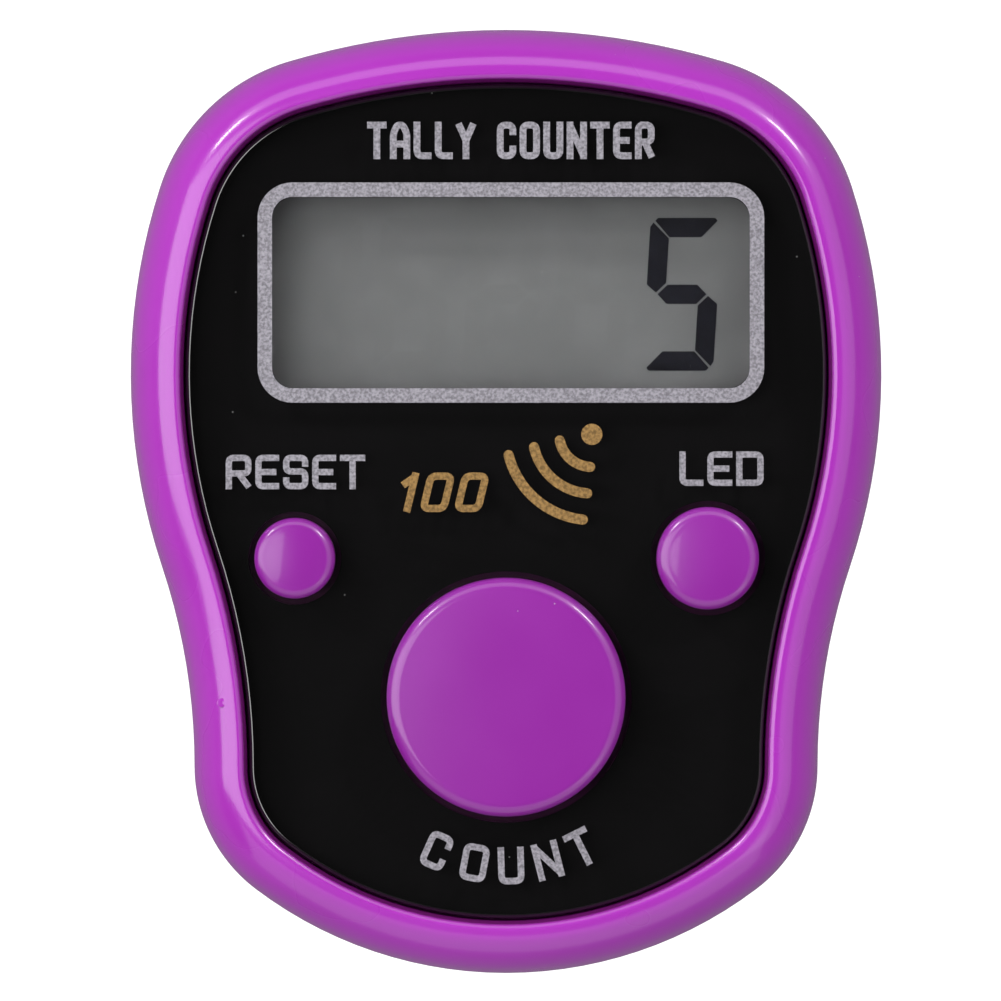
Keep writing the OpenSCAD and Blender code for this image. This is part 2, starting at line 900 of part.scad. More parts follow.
// The band stands where the tab's tip just reaches it when the tab is buttoned
tab_offset = tab_x - pin_x;
tab_throw = tab_drop * sin(close_turn) - tab_offset * cos(close_turn);
band_face = pin_x - tab_throw - tab_gap;       // outer face of the band on the tab's side
stud_l = tab_x - band_face - 0.15;
band_right = band_face - strap_t / 2;          // middle of the band on the tab's side
band_end = pin_z - knuckle_r - 0.3;            // where the band's free end stops
mid_z = strap_t / 2;                           // middle of the band under the finger
arc_z = mid_z + loop_r;
// Height of the stud when it is buttoned, half way along its reach
stud_mid = tab_offset - stud_l * 0.7;
stud_z = pin_z - stud_drop * cos(close_turn) - stud_mid * sin(close_turn);

// The band's middle line, offset inwards by d, in the XZ plane
function band_side(d) =
    let (r = loop_r - d, n = steps(loop_r, 90) + 4)
    concat(
        [[band_right - d, band_end]],
        [for (i = [0:n]) let (a = -90 * i / n) [band_right - loop_r + r * cos(a), arc_z + r * sin(a)]],
        [for (i = [0:n]) let (a = -90 - 90 * i / n) [loop_r - pin_x + r * cos(a), arc_z + r * sin(a)]],
        [[d - pin_x, pin_z]]
    );

// A place on the band's middle line, at distance s below the stud: [x, z, angle of its outward normal]
function band_place(s) =
    let (
        drop = stud_z - arc_z,
        bend = (s - drop) / loop_r * 180 / PI
    )
    s <= drop ? [band_right, stud_z - s, 0]
    : bend <= 90 ? [band_right - loop_r + loop_r * cos(bend), arc_z - loop_r * sin(bend), -bend]
    : [band_right - loop_r - (bend - 90) * PI / 180 * loop_r, mid_z, -90];

module across_band() {
    rotate([90, 0, 0])
        linear_extrude(strap_w, center = true)
            children();
}

module band_hole(s) {
    place = band_place(s);
    translate([place[0], 0, place[1]])
        rotate([0, 90 - place[2], 0])
            cylinder(r = hole_d / 2, h = 2 * strap_t, center = true);
}

module knuckle_bore(x) {
    translate([x, 0, pin_z])
        rotate([90, 0, 0])
            cylinder(r = pin_d / 2 + pin_clearance, h = strap_w + 2, center = true);
}

module finger_band() {
    outer = band_side(-strap_t / 2);
    inner = band_side(strap_t / 2);
    color(black)
        difference() {
            union() {
                across_band()
                    polygon(concat(outer, [for (i = [len(inner) - 1:-1:0]) inner[i]]));
                translate([-pin_x, 0, pin_z])
                    rotate([90, 0, 0])
                        cylinder(r = knuckle_r, h = strap_w, center = true);
            }
            knuckle_bore(-pin_x);
            for (i = [0:4])
                band_hole(i * hole_pitch);
        }
}

// Short tab on the right pin, with a stud that buttons into one of the band's holes
module clasp_tab() {
    color(black)
        difference() {
            union() {
                translate([pin_x, 0, pin_z])
                    rotate([90, 0, 0])
                        cylinder(r = knuckle_r, h = strap_w, center = true);
                block(tab_x, tab_x + tab_thick, -strap_w / 2, strap_w / 2, pin_z - tab_drop, pin_z);
                translate([tab_x - stud_l, 0, pin_z - stud_drop])
                    rotate([0, 90, 0])
                        cylinder(r = stud_r, h = stud_l + 0.5);
            }
            knuckle_bore(pin_x);
        }
}

front_cover();
back_cover();
case_screws();
face_panel();
panel_mask();
panel_tape();
display_front_film();
display_front_glass();
display_rear_glass();
display_reflector();
backlight_plate();
backlight_led();
contact_rubber();
circuit_board();
board_screws();
chip_blob();
timing_crystal();
chip_resistors();
keypad_web();
count_dome();
reset_dome();
led_dome();
count_pill();
reset_pill();
led_pill();
count_button();
reset_button();
led_button();
battery_holder();
negative_contact();
positive_contact();
inner_cell();
outer_cell();
battery_door();
door_contact();
buzzer_plate();
buzzer_crystal();
buzzer_wires();
left_pin();
right_pin();
finger_band();
clasp_tab();
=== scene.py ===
"""Looks of the finger tally counter: moulded shells, printed face, display, buttons and band."""

import json
import math

import bmesh
import bpy
from mathutils import Matrix, Vector


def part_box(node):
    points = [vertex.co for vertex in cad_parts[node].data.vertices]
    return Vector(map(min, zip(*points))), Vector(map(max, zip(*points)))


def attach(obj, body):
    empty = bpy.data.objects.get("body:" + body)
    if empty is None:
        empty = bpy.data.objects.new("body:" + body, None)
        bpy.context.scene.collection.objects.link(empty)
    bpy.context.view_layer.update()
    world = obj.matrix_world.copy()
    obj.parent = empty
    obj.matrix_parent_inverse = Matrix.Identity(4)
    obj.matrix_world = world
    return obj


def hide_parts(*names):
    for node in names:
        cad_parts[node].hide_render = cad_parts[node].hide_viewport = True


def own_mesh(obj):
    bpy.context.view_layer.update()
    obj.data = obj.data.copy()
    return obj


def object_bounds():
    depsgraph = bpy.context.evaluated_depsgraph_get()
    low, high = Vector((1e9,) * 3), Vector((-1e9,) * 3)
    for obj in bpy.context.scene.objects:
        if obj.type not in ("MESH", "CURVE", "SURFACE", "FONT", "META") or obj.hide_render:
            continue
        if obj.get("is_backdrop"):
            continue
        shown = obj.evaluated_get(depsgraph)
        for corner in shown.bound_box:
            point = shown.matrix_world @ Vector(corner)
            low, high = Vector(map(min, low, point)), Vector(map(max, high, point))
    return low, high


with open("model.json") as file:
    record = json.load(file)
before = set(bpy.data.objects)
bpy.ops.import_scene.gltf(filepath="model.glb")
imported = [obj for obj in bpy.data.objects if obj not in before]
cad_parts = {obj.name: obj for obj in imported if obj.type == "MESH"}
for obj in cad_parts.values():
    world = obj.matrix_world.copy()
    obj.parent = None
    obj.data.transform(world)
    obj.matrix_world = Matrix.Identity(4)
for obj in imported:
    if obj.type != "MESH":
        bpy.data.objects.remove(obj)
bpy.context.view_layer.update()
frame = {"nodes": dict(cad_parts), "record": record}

MM = 0.001
QUARTER = math.pi / 2


# ---------------------------------------------------------------- places, from the frame

def middle(node):
    """The centre of a CAD node's box."""
    low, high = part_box(node)
    return (low + high) / 2


def radius_of(node):
    """The radius of a round CAD node."""
    low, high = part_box(node)
    return (high.y - low.y) / 2


case_low, case_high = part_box("front_cover")
body_l = case_high.y - case_low.y
crest_z = case_high.z
back_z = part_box("battery_door")[0].z
floor_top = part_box("panel_tape")[0].z
floor_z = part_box("display_front_film")[1].z
panel_z, panel_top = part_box("face_panel")[0].z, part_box("face_panel")[1].z

# Sizes of the case that the boxes don't give
BODY_W = 31.2 * MM
LOWER_W = 25.9 * MM
WIDEST_Y = 5.3 * MM
LOWER_Y = -11 * MM
CROWN_R = 31.8 * MM
SHOULDER_R = 8 * MM
SIDE_R = 25.3 * MM
FOOT_R = 6.4 * MM
PARTING = back_z + 6.2 * MM
WALL = 1.4 * MM
BACK_T = 1.2 * MM
RIM_W = 2.3 * MM
PANEL_GAP = 0.03 * MM
BACK_ROUND = 3 * MM
BUTTON_GAP = 0.25 * MM
FLANGE_REACH = 0.55 * MM
WINDOW = (19.8 * MM, 7.9 * MM)
WINDOW_R = 0.9 * MM
WINDOW_AT = Vector((0.2 * MM, 8.65 * MM))
DOOR_GAP = 0.1 * MM
GATE_MARK = (-11.78 * MM, -8.33 * MM)


# ---------------------------------------------------------------- outline of the case

def direction(a, b):
    """The angle of the line from a to b."""
    return math.atan2(b[1] - a[1], b[0] - a[0])


def circle_inside(a, b, r):
    """Centre of the circle of radius r that touches circles a and b from inside, on the outer side."""
    ra, rb = a[2] - r, b[2] - r
    dx, dy = b[0] - a[0], b[1] - a[1]
    d = math.hypot(dx, dy)
    along = (ra * ra - rb * rb + d * d) / (2 * d)
    across = math.sqrt(ra * ra - along * along)
    ux, uy = dx / d, dy / d
    return a[0] + along * ux + across * uy, a[1] + along * uy - across * ux


def case_arcs():
    """The right half of the outline, from the top middle: [(x, y, radius, hollow, first, last, steps)]."""
    half_w, half_l = BODY_W / 2, body_l / 2
    crown = (0, half_l - CROWN_R, CROWN_R)
    side = (half_w - SIDE_R, WIDEST_Y, SIDE_R)
    sx, sy = circle_inside(crown, side, SHOULDER_R)
    shoulder = (sx, sy, SHOULDER_R)
    step_in = half_w - LOWER_W / 2
    drop = WIDEST_Y - LOWER_Y
    waist_r = (drop * drop + step_in * step_in) / (2 * step_in) - SIDE_R
    waist = (LOWER_W / 2 + waist_r, LOWER_Y, waist_r)
    foot = (LOWER_W / 2 - FOOT_R, LOWER_Y, FOOT_R)
    rise = LOWER_Y + half_l
    base_r = (foot[0] ** 2 + rise**2 - FOOT_R**2) / (2 * (rise - FOOT_R))
    base = (0, base_r - half_l, base_r)
    return [
        (*crown, 1, QUARTER, direction(crown, shoulder), 10),
        (*shoulder, 1, direction(crown, shoulder), direction(side, shoulder), 22),
        (*side, 1, direction(side, shoulder), direction(side, waist), 18),
        (*waist, -1, direction(waist, side), math.pi, 10),
        (*foot, 1, 0, direction(base, foot), 20),
        (*base, 1, direction(base, foot), -QUARTER, 14),
    ]


ARCS = case_arcs()


def outline(inset):
    """The case's outline moved inwards by inset, anticlockwise from the top middle."""
    right = []
    for x, y, r, sign, first, last, steps in ARCS:
        for i in range(steps):
            a = first + (last - first) * i / steps
            reach = r - sign * inset
            right.append((x + reach * math.cos(a), y + reach * math.sin(a)))
    left = [(-x, y) for x, y in right[1:]]
    return [right[0], *left, (0, inset - body_l / 2), *reversed(right[1:])]


# ---------------------------------------------------------------- mesh helpers

def new_object(name, data):
    obj = bpy.data.objects.new(name, data)
    bpy.context.scene.collection.objects.link(obj)
    return obj


def mesh_object(name, verts, faces):
    mesh = bpy.data.meshes.new(name)
    mesh.from_pydata([tuple(v) for v in verts], [], faces)
    mesh.update()
    return new_object(name, mesh)


def tidy_mesh(obj, sharp_deg=35, recalc=True):
    """Merges doubles, turns faces outwards, and shades smooth except across sharp edges."""
    bm = bmesh.new()
    bm.from_mesh(obj.data)
    bmesh.ops.remove_doubles(bm, verts=bm.verts, dist=1e-7)
    if recalc:
        bmesh.ops.recalc_face_normals(bm, faces=bm.faces)
    limit = math.radians(sharp_deg)
    for face in bm.faces:
        face.smooth = True
    for edge in bm.edges:
        edge.smooth = len(edge.link_faces) == 2 and edge.calc_face_angle(0) < limit
    bm.to_mesh(obj.data)
    bm.free()
    obj.data.update()
    return obj


def join(name, objs):
    """One object from several, each kept as its own closed shell."""
    bm = bmesh.new()
    for o in objs:
        bm.from_mesh(o.data)
        bpy.data.objects.remove(o)
    mesh = bpy.data.meshes.new(name)
    bm.to_mesh(mesh)
    bm.free()
    return new_object(name, mesh)


def applied(obj):
    """The object with its modifiers made into its mesh."""
    graph = bpy.context.evaluated_depsgraph_get()
    graph.update()
    mesh = bpy.data.meshes.new_from_object(obj.evaluated_get(graph))
    obj.modifiers.clear()
    obj.data = mesh
    return obj


def carve(obj, cutters, operation="DIFFERENCE"):
    """Cuts closed cutters out of obj, or joins them to it, and removes them."""
    for cutter in cutters:
        mod = obj.modifiers.new("cut", "BOOLEAN")
        mod.object = cutter
        mod.operation = operation
        mod.solver = "EXACT"
        mod.use_self = False
    applied(obj)
    for cutter in cutters:
        bpy.data.objects.remove(cutter)
    return obj


def skin(name, rings, ring=False):
    """A closed skin over rings of points, with flat ends or run round to its start."""
    n, last = len(rings[0]), len(rings) - 1
    faces = []
    for k in range(last + ring):
        m = (k + 1) % len(rings)
        for i in range(n):
            j = (i + 1) % n
            faces.append((k * n + i, k * n + j, m * n + j, m * n + i))
    if not ring:
        faces += [tuple(range(n))[::-1], tuple(range(last * n, last * n + n))]
    return mesh_object(name, [p for points in rings for p in points], faces)


def loft(name, sections, ring=False):
    """A closed skin that follows the case's outline: sections are (inset, z) from one flat face to the
    other, or all round the section of a ring."""
    return tidy_mesh(skin(name, [[(x, y, z) for x, y in outline(inset)] for inset, z in sections], ring))


def lathe(name, profile, centre=(0, 0, 0), axis="Z", steps=96):
    """A closed turned solid: profile is (radius, height) pairs, from the axis to the axis."""
    verts, faces = [], []
    on_axis = [abs(r) < 1e-9 for r, _ in profile]
    index = []
    for (r, h), pole in zip(profile, on_axis):
        if pole:
            index.append([len(verts)] * steps)
            verts.append((0, 0, h))
        else:
            index.append(list(range(len(verts), len(verts) + steps)))
            for i in range(steps):
                a = 2 * math.pi * i / steps
                verts.append((r * math.cos(a), r * math.sin(a), h))
    for k in range(len(profile) - 1):
        a, b = index[k], index[k + 1]
        for i in range(steps):
            j = (i + 1) % steps
            face = tuple(dict.fromkeys([a[i], a[j], b[j], b[i]]))
            if len(face) > 2:
                faces.append(face)
    turn = {"Z": Matrix(), "Y": Matrix.Rotation(-QUARTER, 4, "X"), "X": Matrix.Rotation(QUARTER, 4, "Y")}[axis]
    place = Matrix.Translation(Vector(centre)) @ turn
    return tidy_mesh(mesh_object(name, [place @ Vector(v) for v in verts], faces))


def arc_points(x, y, r, first, last, steps):
    """Points on an arc about (x, y), both ends included."""
    angles = [first + (last - first) * i / steps for i in range(steps + 1)]
    return [(x + r * math.cos(a), y + r * math.sin(a)) for a in angles]


def rod(name, centre, radius, length, axis="Z", edge=0.0, steps=96):
    """A cylinder about centre, with its edges rounded by edge."""
    h = length / 2
    if edge:
        x, z = radius - edge, h - edge
        side = [*arc_points(x, -z, edge, -QUARTER, 0, 5), *arc_points(x, z, edge, 0, QUARTER, 5)]
    else:
        side = [(radius, -h), (radius, h)]
    return lathe(name, [(0, -h), *side, (0, h)], centre, axis, steps)


def smooth_run(points, per=6):
    """A Catmull-Rom curve through 2-D points."""
    out = []
    n = len(points)
    for i in range(n - 1):
        p = [Vector(points[max(0, min(n - 1, i + k))]) for k in (-1, 0, 1, 2)]
        for s in range(per):
            t = s / per
            out.append(
                0.5 * (
                    2 * p[1] + (p[2] - p[0]) * t
                    + (2 * p[0] - 5 * p[1] + 4 * p[2] - p[3]) * t * t
                    + (3 * p[1] - p[0] - 3 * p[2] + p[3]) * t**3
                )
            )
    out.append(Vector(points[-1]))
    return [tuple(v) for v in out]


def rounded_rect(w, l, r, steps=8):
    """Points of a rounded rectangle about the origin, anticlockwise."""
    points = []
    for k, (sx, sy) in enumerate([(1, 1), (-1, 1), (-1, -1), (1, -1)]):
        points += arc_points(sx * (w / 2 - r), sy * (l / 2 - r), r, QUARTER * k, QUARTER * (k + 1), steps)
    return points


def prism(name, points, z0, z1):
    """A flat shape of any outline, given thickness."""
    return tidy_mesh(skin(name, [[(x, y, z) for x, y in points] for z in (z0, z1)]))


# ---------------------------------------------------------------- shells

def front_shell():
    """The front of the case: its rolled rim, the floor under the panel, and the openings in the floor."""
    h, lip = crest_z, 0.65 * MM
    outside = smooth_run([
        (0, PARTING + 0.6 * MM),
        (0, h - 3.4 * MM),
        (0.1 * MM, h - 2.4 * MM),
        (0.32 * MM, h - 1.55 * MM),
        (0.67 * MM, h - 0.84 * MM),
        (1.08 * MM, h - 0.37 * MM),
        (1.45 * MM, h - 0.1 * MM),
        (1.84 * MM, h),
        (2 * MM, h - 0.04 * MM),
        (2.09 * MM, h - 0.14 * MM),
        (2.13 * MM, h - 0.35 * MM),
    ])
    outside.append((2.2 * MM, h - 0.8 * MM))
    sections = [
        (WALL, floor_z),
        (WALL, PARTING + 1.1 * MM),
        (WALL - lip, PARTING + 1.1 * MM),
        (WALL - lip, PARTING),
        (0.12 * MM, PARTING),
        (0.03 * MM, PARTING + 0.05 * MM),
        (0, PARTING + 0.15 * MM),
        *outside,
        (RIM_W, floor_top),
    ]
    shell = loft("front_shell", sections)
    window = window_line(1.2 * MM, 1.2 * MM, WINDOW_R + 0.3 * MM, 8)
    carve(shell, [*key_holes(floor_z, 6 * MM), prism("hole", window, floor_z - MM, floor_top + MM)])
    gate = rod("gate", (*GATE_MARK, h - 0.4 * MM), 0.19 * MM, 0.58 * MM, edge=0.03 * MM, steps=24)
    carve(shell, [gate], "UNION")
    tidy_mesh(shell, 32)
    # Painted shade on the rim's inner wall and on the floor under the panel, growing darker further down.
    inner = outline(1.95 * MM)
    shade_by(shell, lambda v: within(v, inner) * ramp(v.z, h + 0.01 * MM, h - 0.3 * MM))
    return shell


def key_holes(z, depth, steps=96):
    """Round cutters for the three keys."""
    nodes = [key + "_button" for key in KEYS]
    return [
        rod("hole", (*middle(k).xy, z), radius_of(k) - FLANGE_REACH + BUTTON_GAP, depth, steps=steps) for k in nodes
    ]


def window_line(more_w, more_l, r, steps):
    """A rounded rectangle round the display window, larger than it by more_w and more_l."""
    points = rounded_rect(WINDOW[0] + more_w, WINDOW[1] + more_l, r, steps)
    return [(x + WINDOW_AT.x, y + WINDOW_AT.y) for x, y in points]


def ramp(value, at_none, at_full):
    """0 at one value and 1 at the other, straight between and level outside."""
    return min(1.0, max(0.0, (value - at_none) / (at_full - at_none)))


def within(point, polygon):
    """1 where a point lies inside a closed line seen from above, and 0 where it doesn't."""
    inside = 0
    for (x0, y0), (x1, y1) in zip(polygon, polygon[1:] + polygon[:1]):
        if (y0 > point.y) != (y1 > point.y) and point.x < x0 + (x1 - x0) * (point.y - y0) / (y1 - y0):
            inside = 1 - inside
    return inside


def shade_by(obj, rule):
    """Stores, from 0 to 1, how much painted shade each point gets for lying deep in a gap, for the finishes to darken
    its colour by.
    """
    layer = obj.data.attributes.new("depth_shade", "FLOAT", "POINT")
    for v in obj.data.vertices:
        layer.data[v.index].value = rule(v.co)


def back_shell():
    """The back of the case, with its door seat, screw seats, sound holes and hinge ears."""
    r, z = BACK_ROUND, back_z
    outside = smooth_run([
        (r, z),
        (r * 0.62, z + r * 0.1),
        (r * 0.36, z + r * 0.3),
        (r * 0.16, z + r * 0.6),
        (r * 0.05, z + r * 0.95),
        (0, z + r + 1.2 * MM),
        (0, PARTING - 0.15 * MM),
    ], 5)
    shell = loft("back_shell", [
        *outside,
        (0.03 * MM, PARTING - 0.05 * MM),
        (0.12 * MM, PARTING),
        (WALL - 0.6 * MM, PARTING),
        (WALL - 0.6 * MM, PARTING + MM),
        (WALL, PARTING + MM),
        (WALL, z + BACK_T + 1.6 * MM),
        (WALL + 0.5 * MM, z + BACK_T + 0.6 * MM),
        (WALL + 1.5 * MM, z + BACK_T),
    ])
    door = middle("battery_door")
    door_r = DOOR_R + DOOR_GAP
    cutters = [rod("hole", (0, door.y, z), door_r, 2 * BACK_T + MM)]
    for turn in (0, math.pi):
        cutters.append(sector("hole", (0, door.y), door_r + TAB_REACH + DOOR_GAP, turn - DOOR_TURN,
                              TAB_SWEEP + math.radians(8), z - MM, z + BACK_T + MM))
    cutters += [rod("hole", (x, y, z), SCREW_HEAD_R + 0.15 * MM, 2 * SCREW_SEAT) for x, y in SCREW_PLACES]
    sound_places = [*arc_points(0, SOUND_Y, SOUND_CIRCLE, 0, math.radians(300), 5), (0, SOUND_Y)]
    cutters += [rod("hole", (x, y, z), SOUND_R, 3 * BACK_T, steps=32) for x, y in sound_places]
    carve(shell, cutters)
    tidy_mesh(shell, 32)
    ears = [lug(sx, sy) for sx in (-1, 1) for sy in (-1, 1)]
    return tidy_mesh(join("back_shell_body", [shell, *ears]), 32, recalc=False)


def lug(sx, sy):
    """One ear of the band's hinge: a rounded tongue with a bore, run up into the shell."""
    pin = middle("left_pin") if sx < 0 else middle("right_pin")
    root = back_z + LUG_ROOT - pin.z
    points = [(LUG_R, root), *arc_points(0, 0, LUG_R, 0, -math.pi, 20), (-LUG_R, root)]
    obj = prism("ear", points, -LUG_T / 2, LUG_T / 2)
    place = Vector((pin.x, sy * LUG_Y, pin.z))
    obj.data.transform(Matrix.Translation(place) @ Matrix.Rotation(QUARTER, 4, "X"))
    carve(obj, [rod("bore", place, PIN_R, 3 * LUG_T, "Y", steps=48)])
    bevelled(obj, 0.2 * MM)
    return tidy_mesh(obj)


def sector(name, centre, r, mid, sweep, z0, z1):
    """A slice of a disc, given thickness."""
    return prism(name, [centre, *arc_points(*centre, r, mid - sweep / 2, mid + sweep / 2, 12)], z0, z1)


def bevelled(obj, width, segments=3, angle=40):
    """The object with its sharp edges rounded over."""
    mod = obj.modifiers.new("edges", "BEVEL")
    mod.width, mod.segments = width, segments
    mod.limit_method, mod.angle_limit = "ANGLE", math.radians(angle)
    return applied(obj)


# Sizes of the back's fittings
DOOR_R = 6.5 * MM
TAB_REACH = 0.9 * MM
TAB_SWEEP = math.radians(34)
DOOR_TURN = math.radians(50)
SCREW_SEAT = 1.6 * MM
SCREW_HEAD_R = 1.5 * MM
SCREW_HEAD_H = 0.9 * MM
SOUND_Y = 9.5 * MM
SOUND_R = 0.5 * MM
SOUND_CIRCLE = 2.2 * MM
LUG_R = 1.7 * MM
LUG_T = 1.5 * MM
LUG_Y = 5.45 * MM
LUG_ROOT = 2.4 * MM
PIN_R = 0.6 * MM
boss_reach = SHOULDER_R - WALL - 0.1 * MM - 1.45 * MM
boss_turn = math.radians(61)
upper_screw = (ARCS[1][0] + boss_reach * math.cos(boss_turn), ARCS[1][1] + boss_reach * math.sin(boss_turn))
lower_screw = (ARCS[4][0] + 1.5 * MM, ARCS[4][1] - 2.2 * MM)
SCREW_PLACES = [(s * x, y) for x, y in (upper_screw, lower_screw) for s in (-1, 1)]


# ---------------------------------------------------------------- keys

# Each key: its cap's name, the cap's edge radius and crown, and the key's travel
KEYS = {
    "count": ("count_cap", 0.55 * MM, 0.18 * MM, 0.7 * MM),
    "reset": ("reset_cap", 0.45 * MM, 0.12 * MM, 0.5 * MM),
    "led": ("light_cap", 0.5 * MM, 0.12 * MM, 0.5 * MM),
}
# How far below the panel's top the painted shade on the caps' sides grows to full strength
SHADE_DEPTH = 0.6 * MM
DOME_SLOPE, DOME_WALL, DOME_ROOF, DOME_FOOT = 0.55 * MM, 0.25 * MM, 0.3 * MM, 0.35 * MM


def key_cap(name, node, edge, crown):
    """A turned cap with a rounded edge, a slightly domed top and a flange under the face."""
    low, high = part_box(node)
    r = radius_of(node) - FLANGE_REACH
    c, top, flange = middle(node), high.z, r + FLANGE_REACH
    flat_r = r - edge
    rounded = arc_points(flat_r, top - crown - edge, edge, 0, QUARTER, 10)
    dome = [(flat_r * (1 - t), top - crown * (1 - t) ** 2) for t in (0.1, 0.2, 0.35, 0.5, 0.65, 0.8, 0.9)]
    profile = [
        (0, low.z), (flange - 0.1 * MM, low.z), (flange, low.z + 0.1 * MM),
        (flange, floor_z - 0.05 * MM), (r, floor_z - 0.05 * MM), (r, panel_top - SHADE_DEPTH), (r, panel_top),
        *rounded, *dome, (0, top),
    ]
    cap = lathe(name, profile, (c.x, c.y, 0), steps=128)
    # Painted shade on the cap's side below the panel's top, growing darker further down.
    shade_by(cap, lambda v: ramp(v.z, panel_top + 0.1 * MM, panel_top - SHADE_DEPTH))
    return cap


def contact_dome(name, node):
    """The soft rubber dome under a key, hollow and open at the bottom."""
    low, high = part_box(node)
    c, foot_r = middle(node), radius_of(node)
    top_r = foot_r - DOME_SLOPE
    profile = [
        (0, high.z - DOME_ROOF), (top_r - DOME_WALL, high.z - DOME_ROOF),
        (foot_r - DOME_WALL, low.z + DOME_FOOT - 0.1 * MM), (foot_r - DOME_WALL, low.z),
        (foot_r, low.z), (foot_r, low.z + DOME_FOOT),
        (top_r, high.z - 0.05 * MM), (top_r - 0.05 * MM, high.z), (0, high.z),
    ]
    return lathe(name, profile, (c.x, c.y, 0), steps=64)


# ---------------------------------------------------------------- face

PANE_INSET = RIM_W + PANEL_GAP
PANE_EDGE = 0.17 * MM


def pane_edge():
    """The panel's polished outer edge, rounded over at the top and blacked behind."""
    inner = PANE_INSET + PANE_EDGE
    rounded = arc_points(inner, panel_top - PANE_EDGE, PANE_EDGE, math.pi, QUARTER, 8)
    return loft("panel_edge", [(inner, panel_z), (PANE_INSET, panel_z), *rounded], ring=True)


def face_pane():
    """The clear acrylic panel with three round holes."""
    inset = PANE_INSET + PANE_EDGE + 0.001 * MM
    pane = loft("face_pane", [(inset, panel_z), (inset, panel_top)])
    return tidy_mesh(carve(pane, key_holes(panel_z, 4 * MM, 128)), 25)


def ribbon(points, width, z0, z1, closed=False, round_ends=True):
    """A printed stroke: a flat band of even width along a line of points."""
    points = [Vector(p) for p in points]
    n, half = len(points), width / 2
    sections = []
    for i, p in enumerate(points):
        before = points[i - 1] if (i or closed) else None
        after = points[(i + 1) % n] if (i < n - 1 or closed) else None
        d0 = (p - before).normalized() if before is not None else (after - p).normalized()
        d1 = (after - p).normalized() if after is not None else d0
        along = (d0 + d1).normalized()
        sections.append((p, along, half / max(0.35, along.dot(d0))))
    if not closed and round_ends:
        caps = [math.radians(a) for a in (78, 55, 32)]
        p, d, _ = sections[0]
        start = [(p - d * half * math.sin(a), d, half * math.cos(a)) for a in caps]
        p, d, _ = sections[-1]
        end = [(p + d * half * math.sin(a), d, half * math.cos(a)) for a in reversed(caps)]
        sections = start + sections + end
    rings = []
    for p, d, reach in sections:
        side = Vector((-d.y, d.x)) * reach
        a, b = p - side, p + side
        rings.append([(*a, z0), (*a, z1), (*b, z1), (*b, z0)])
    return tidy_mesh(skin("stroke", rings, closed))


def rounded_line(points, r, closed, steps):
    """A line of points with each corner cut to an arc of about radius r."""
    pts = [Vector(p) for p in points]
    n = len(pts)
    out = []
    for i, p in enumerate(pts):
        if not closed and i in (0, n - 1):
            out.append(p)
            continue
        a, b = pts[i - 1] - p, pts[(i + 1) % n] - p
        share = [0.9 if not closed and i in ends else 0.45 for ends in ((1,), (n - 2,))]
        reach = min(r, a.length * share[0], b.length * share[1])
        start, end = p + a.normalized() * reach, p + b.normalized() * reach
        for k in range(steps + 1):
            t = k / steps
            out.append(start * (1 - t) ** 2 + p * 2 * t * (1 - t) + end * t * t)
    return out


# Plain letters and numbers as strokes in a unit cell: (width, [points]), where a closed stroke ends as it starts
LETTERS = {
    "A": (0.9, [[(0, 0), (0, 0.74), (0.3, 1), (0.7, 1), (1, 0.74), (1, 0)], [(0, 0.38), (1, 0.38)]]),
    "C": (0.84, [[(1, 0.78), (1, 1), (0, 1), (0, 0), (1, 0), (1, 0.22)]]),
    "D": (0.88, [[(0, 0), (0, 1)], [(0, 1), (1, 1), (1, 0), (0, 0)]]),
    "E": (0.78, [[(1, 1), (0, 1), (0, 0), (1, 0)], [(0, 0.5), (0.84, 0.5)]]),
    "L": (0.74, [[(0, 1), (0, 0), (1, 0)]]),
    "N": (0.9, [[(0, 0), (0, 1)], [(0.1, 0.9), (0.9, 0.1)], [(1, 0), (1, 1)]]),
    "O": (0.9, [[(1, 0), (0, 0), (0, 1), (1, 1), (1, 0)]]),
    "R": (0.86, [[(0, 0), (0, 1), (0.5, 1)], [(0.4, 1), (1, 1), (1, 0.45), (0, 0.45)], [(0.58, 0.38), (0.94, 0.05)]]),
    "S": (0.84, [[(1, 0.8), (1, 1), (0, 1), (0, 0.52), (1, 0.52), (1, 0), (0, 0), (0, 0.2)]]),
    "T": (0.84, [[(0, 1), (1, 1)], [(0.5, 1), (0.5, 0)]]),
    "U": (0.88, [[(0, 1), (0, 0), (1, 0), (1, 1)]]),
    "Y": (0.86, [[(0.03, 0.95), (0.45, 0.55)], [(0.97, 0.95), (0.55, 0.55)], [(0.5, 0.48), (0.5, 0)]]),
    "1": (0.42, [[(0, 0.78), (0.65, 0.94)], [(0.8, 1), (0.8, 0)]]),
    " ": (0.5, []),
}
LETTERS["0"] = LETTERS["O"]
PRINT_T = 0.02 * MM
PRINT_SINK = 0.005 * MM


def word(text, height, stroke, spacing, slant=0.0, squeeze=0.62):
    """Strokes of a word with its centre at the origin: [(points, closed)]."""
    cell = height - stroke
    strokes, x = [], 0.0
    for ch in text:
        width, lines = LETTERS[ch]
        w = width * squeeze * cell
        for points in lines:
            closed = points[0] == points[-1]
            placed = [(x + px * w, (py - 0.5) * cell) for px, py in points[closed:]]
            line = rounded_line(placed, 0.18 * cell, closed, 5)
            strokes.append(([(p.x + slant * p.y, p.y) for p in line], closed))
        x += w + spacing
    return moved(strokes, (spacing - x) / 2, 0)


def printed(name, strokes, stroke):
    """One thin printed mark from strokes; each stroke stands a hair above the last, so none coincide."""
    parts = [
        ribbon(points, stroke, panel_top - PRINT_SINK, panel_top + PRINT_T * (1 + 0.04 * i), closed)
        for i, (points, closed) in enumerate(strokes)
    ]
    return tidy_mesh(join(name, parts), 30, recalc=False)


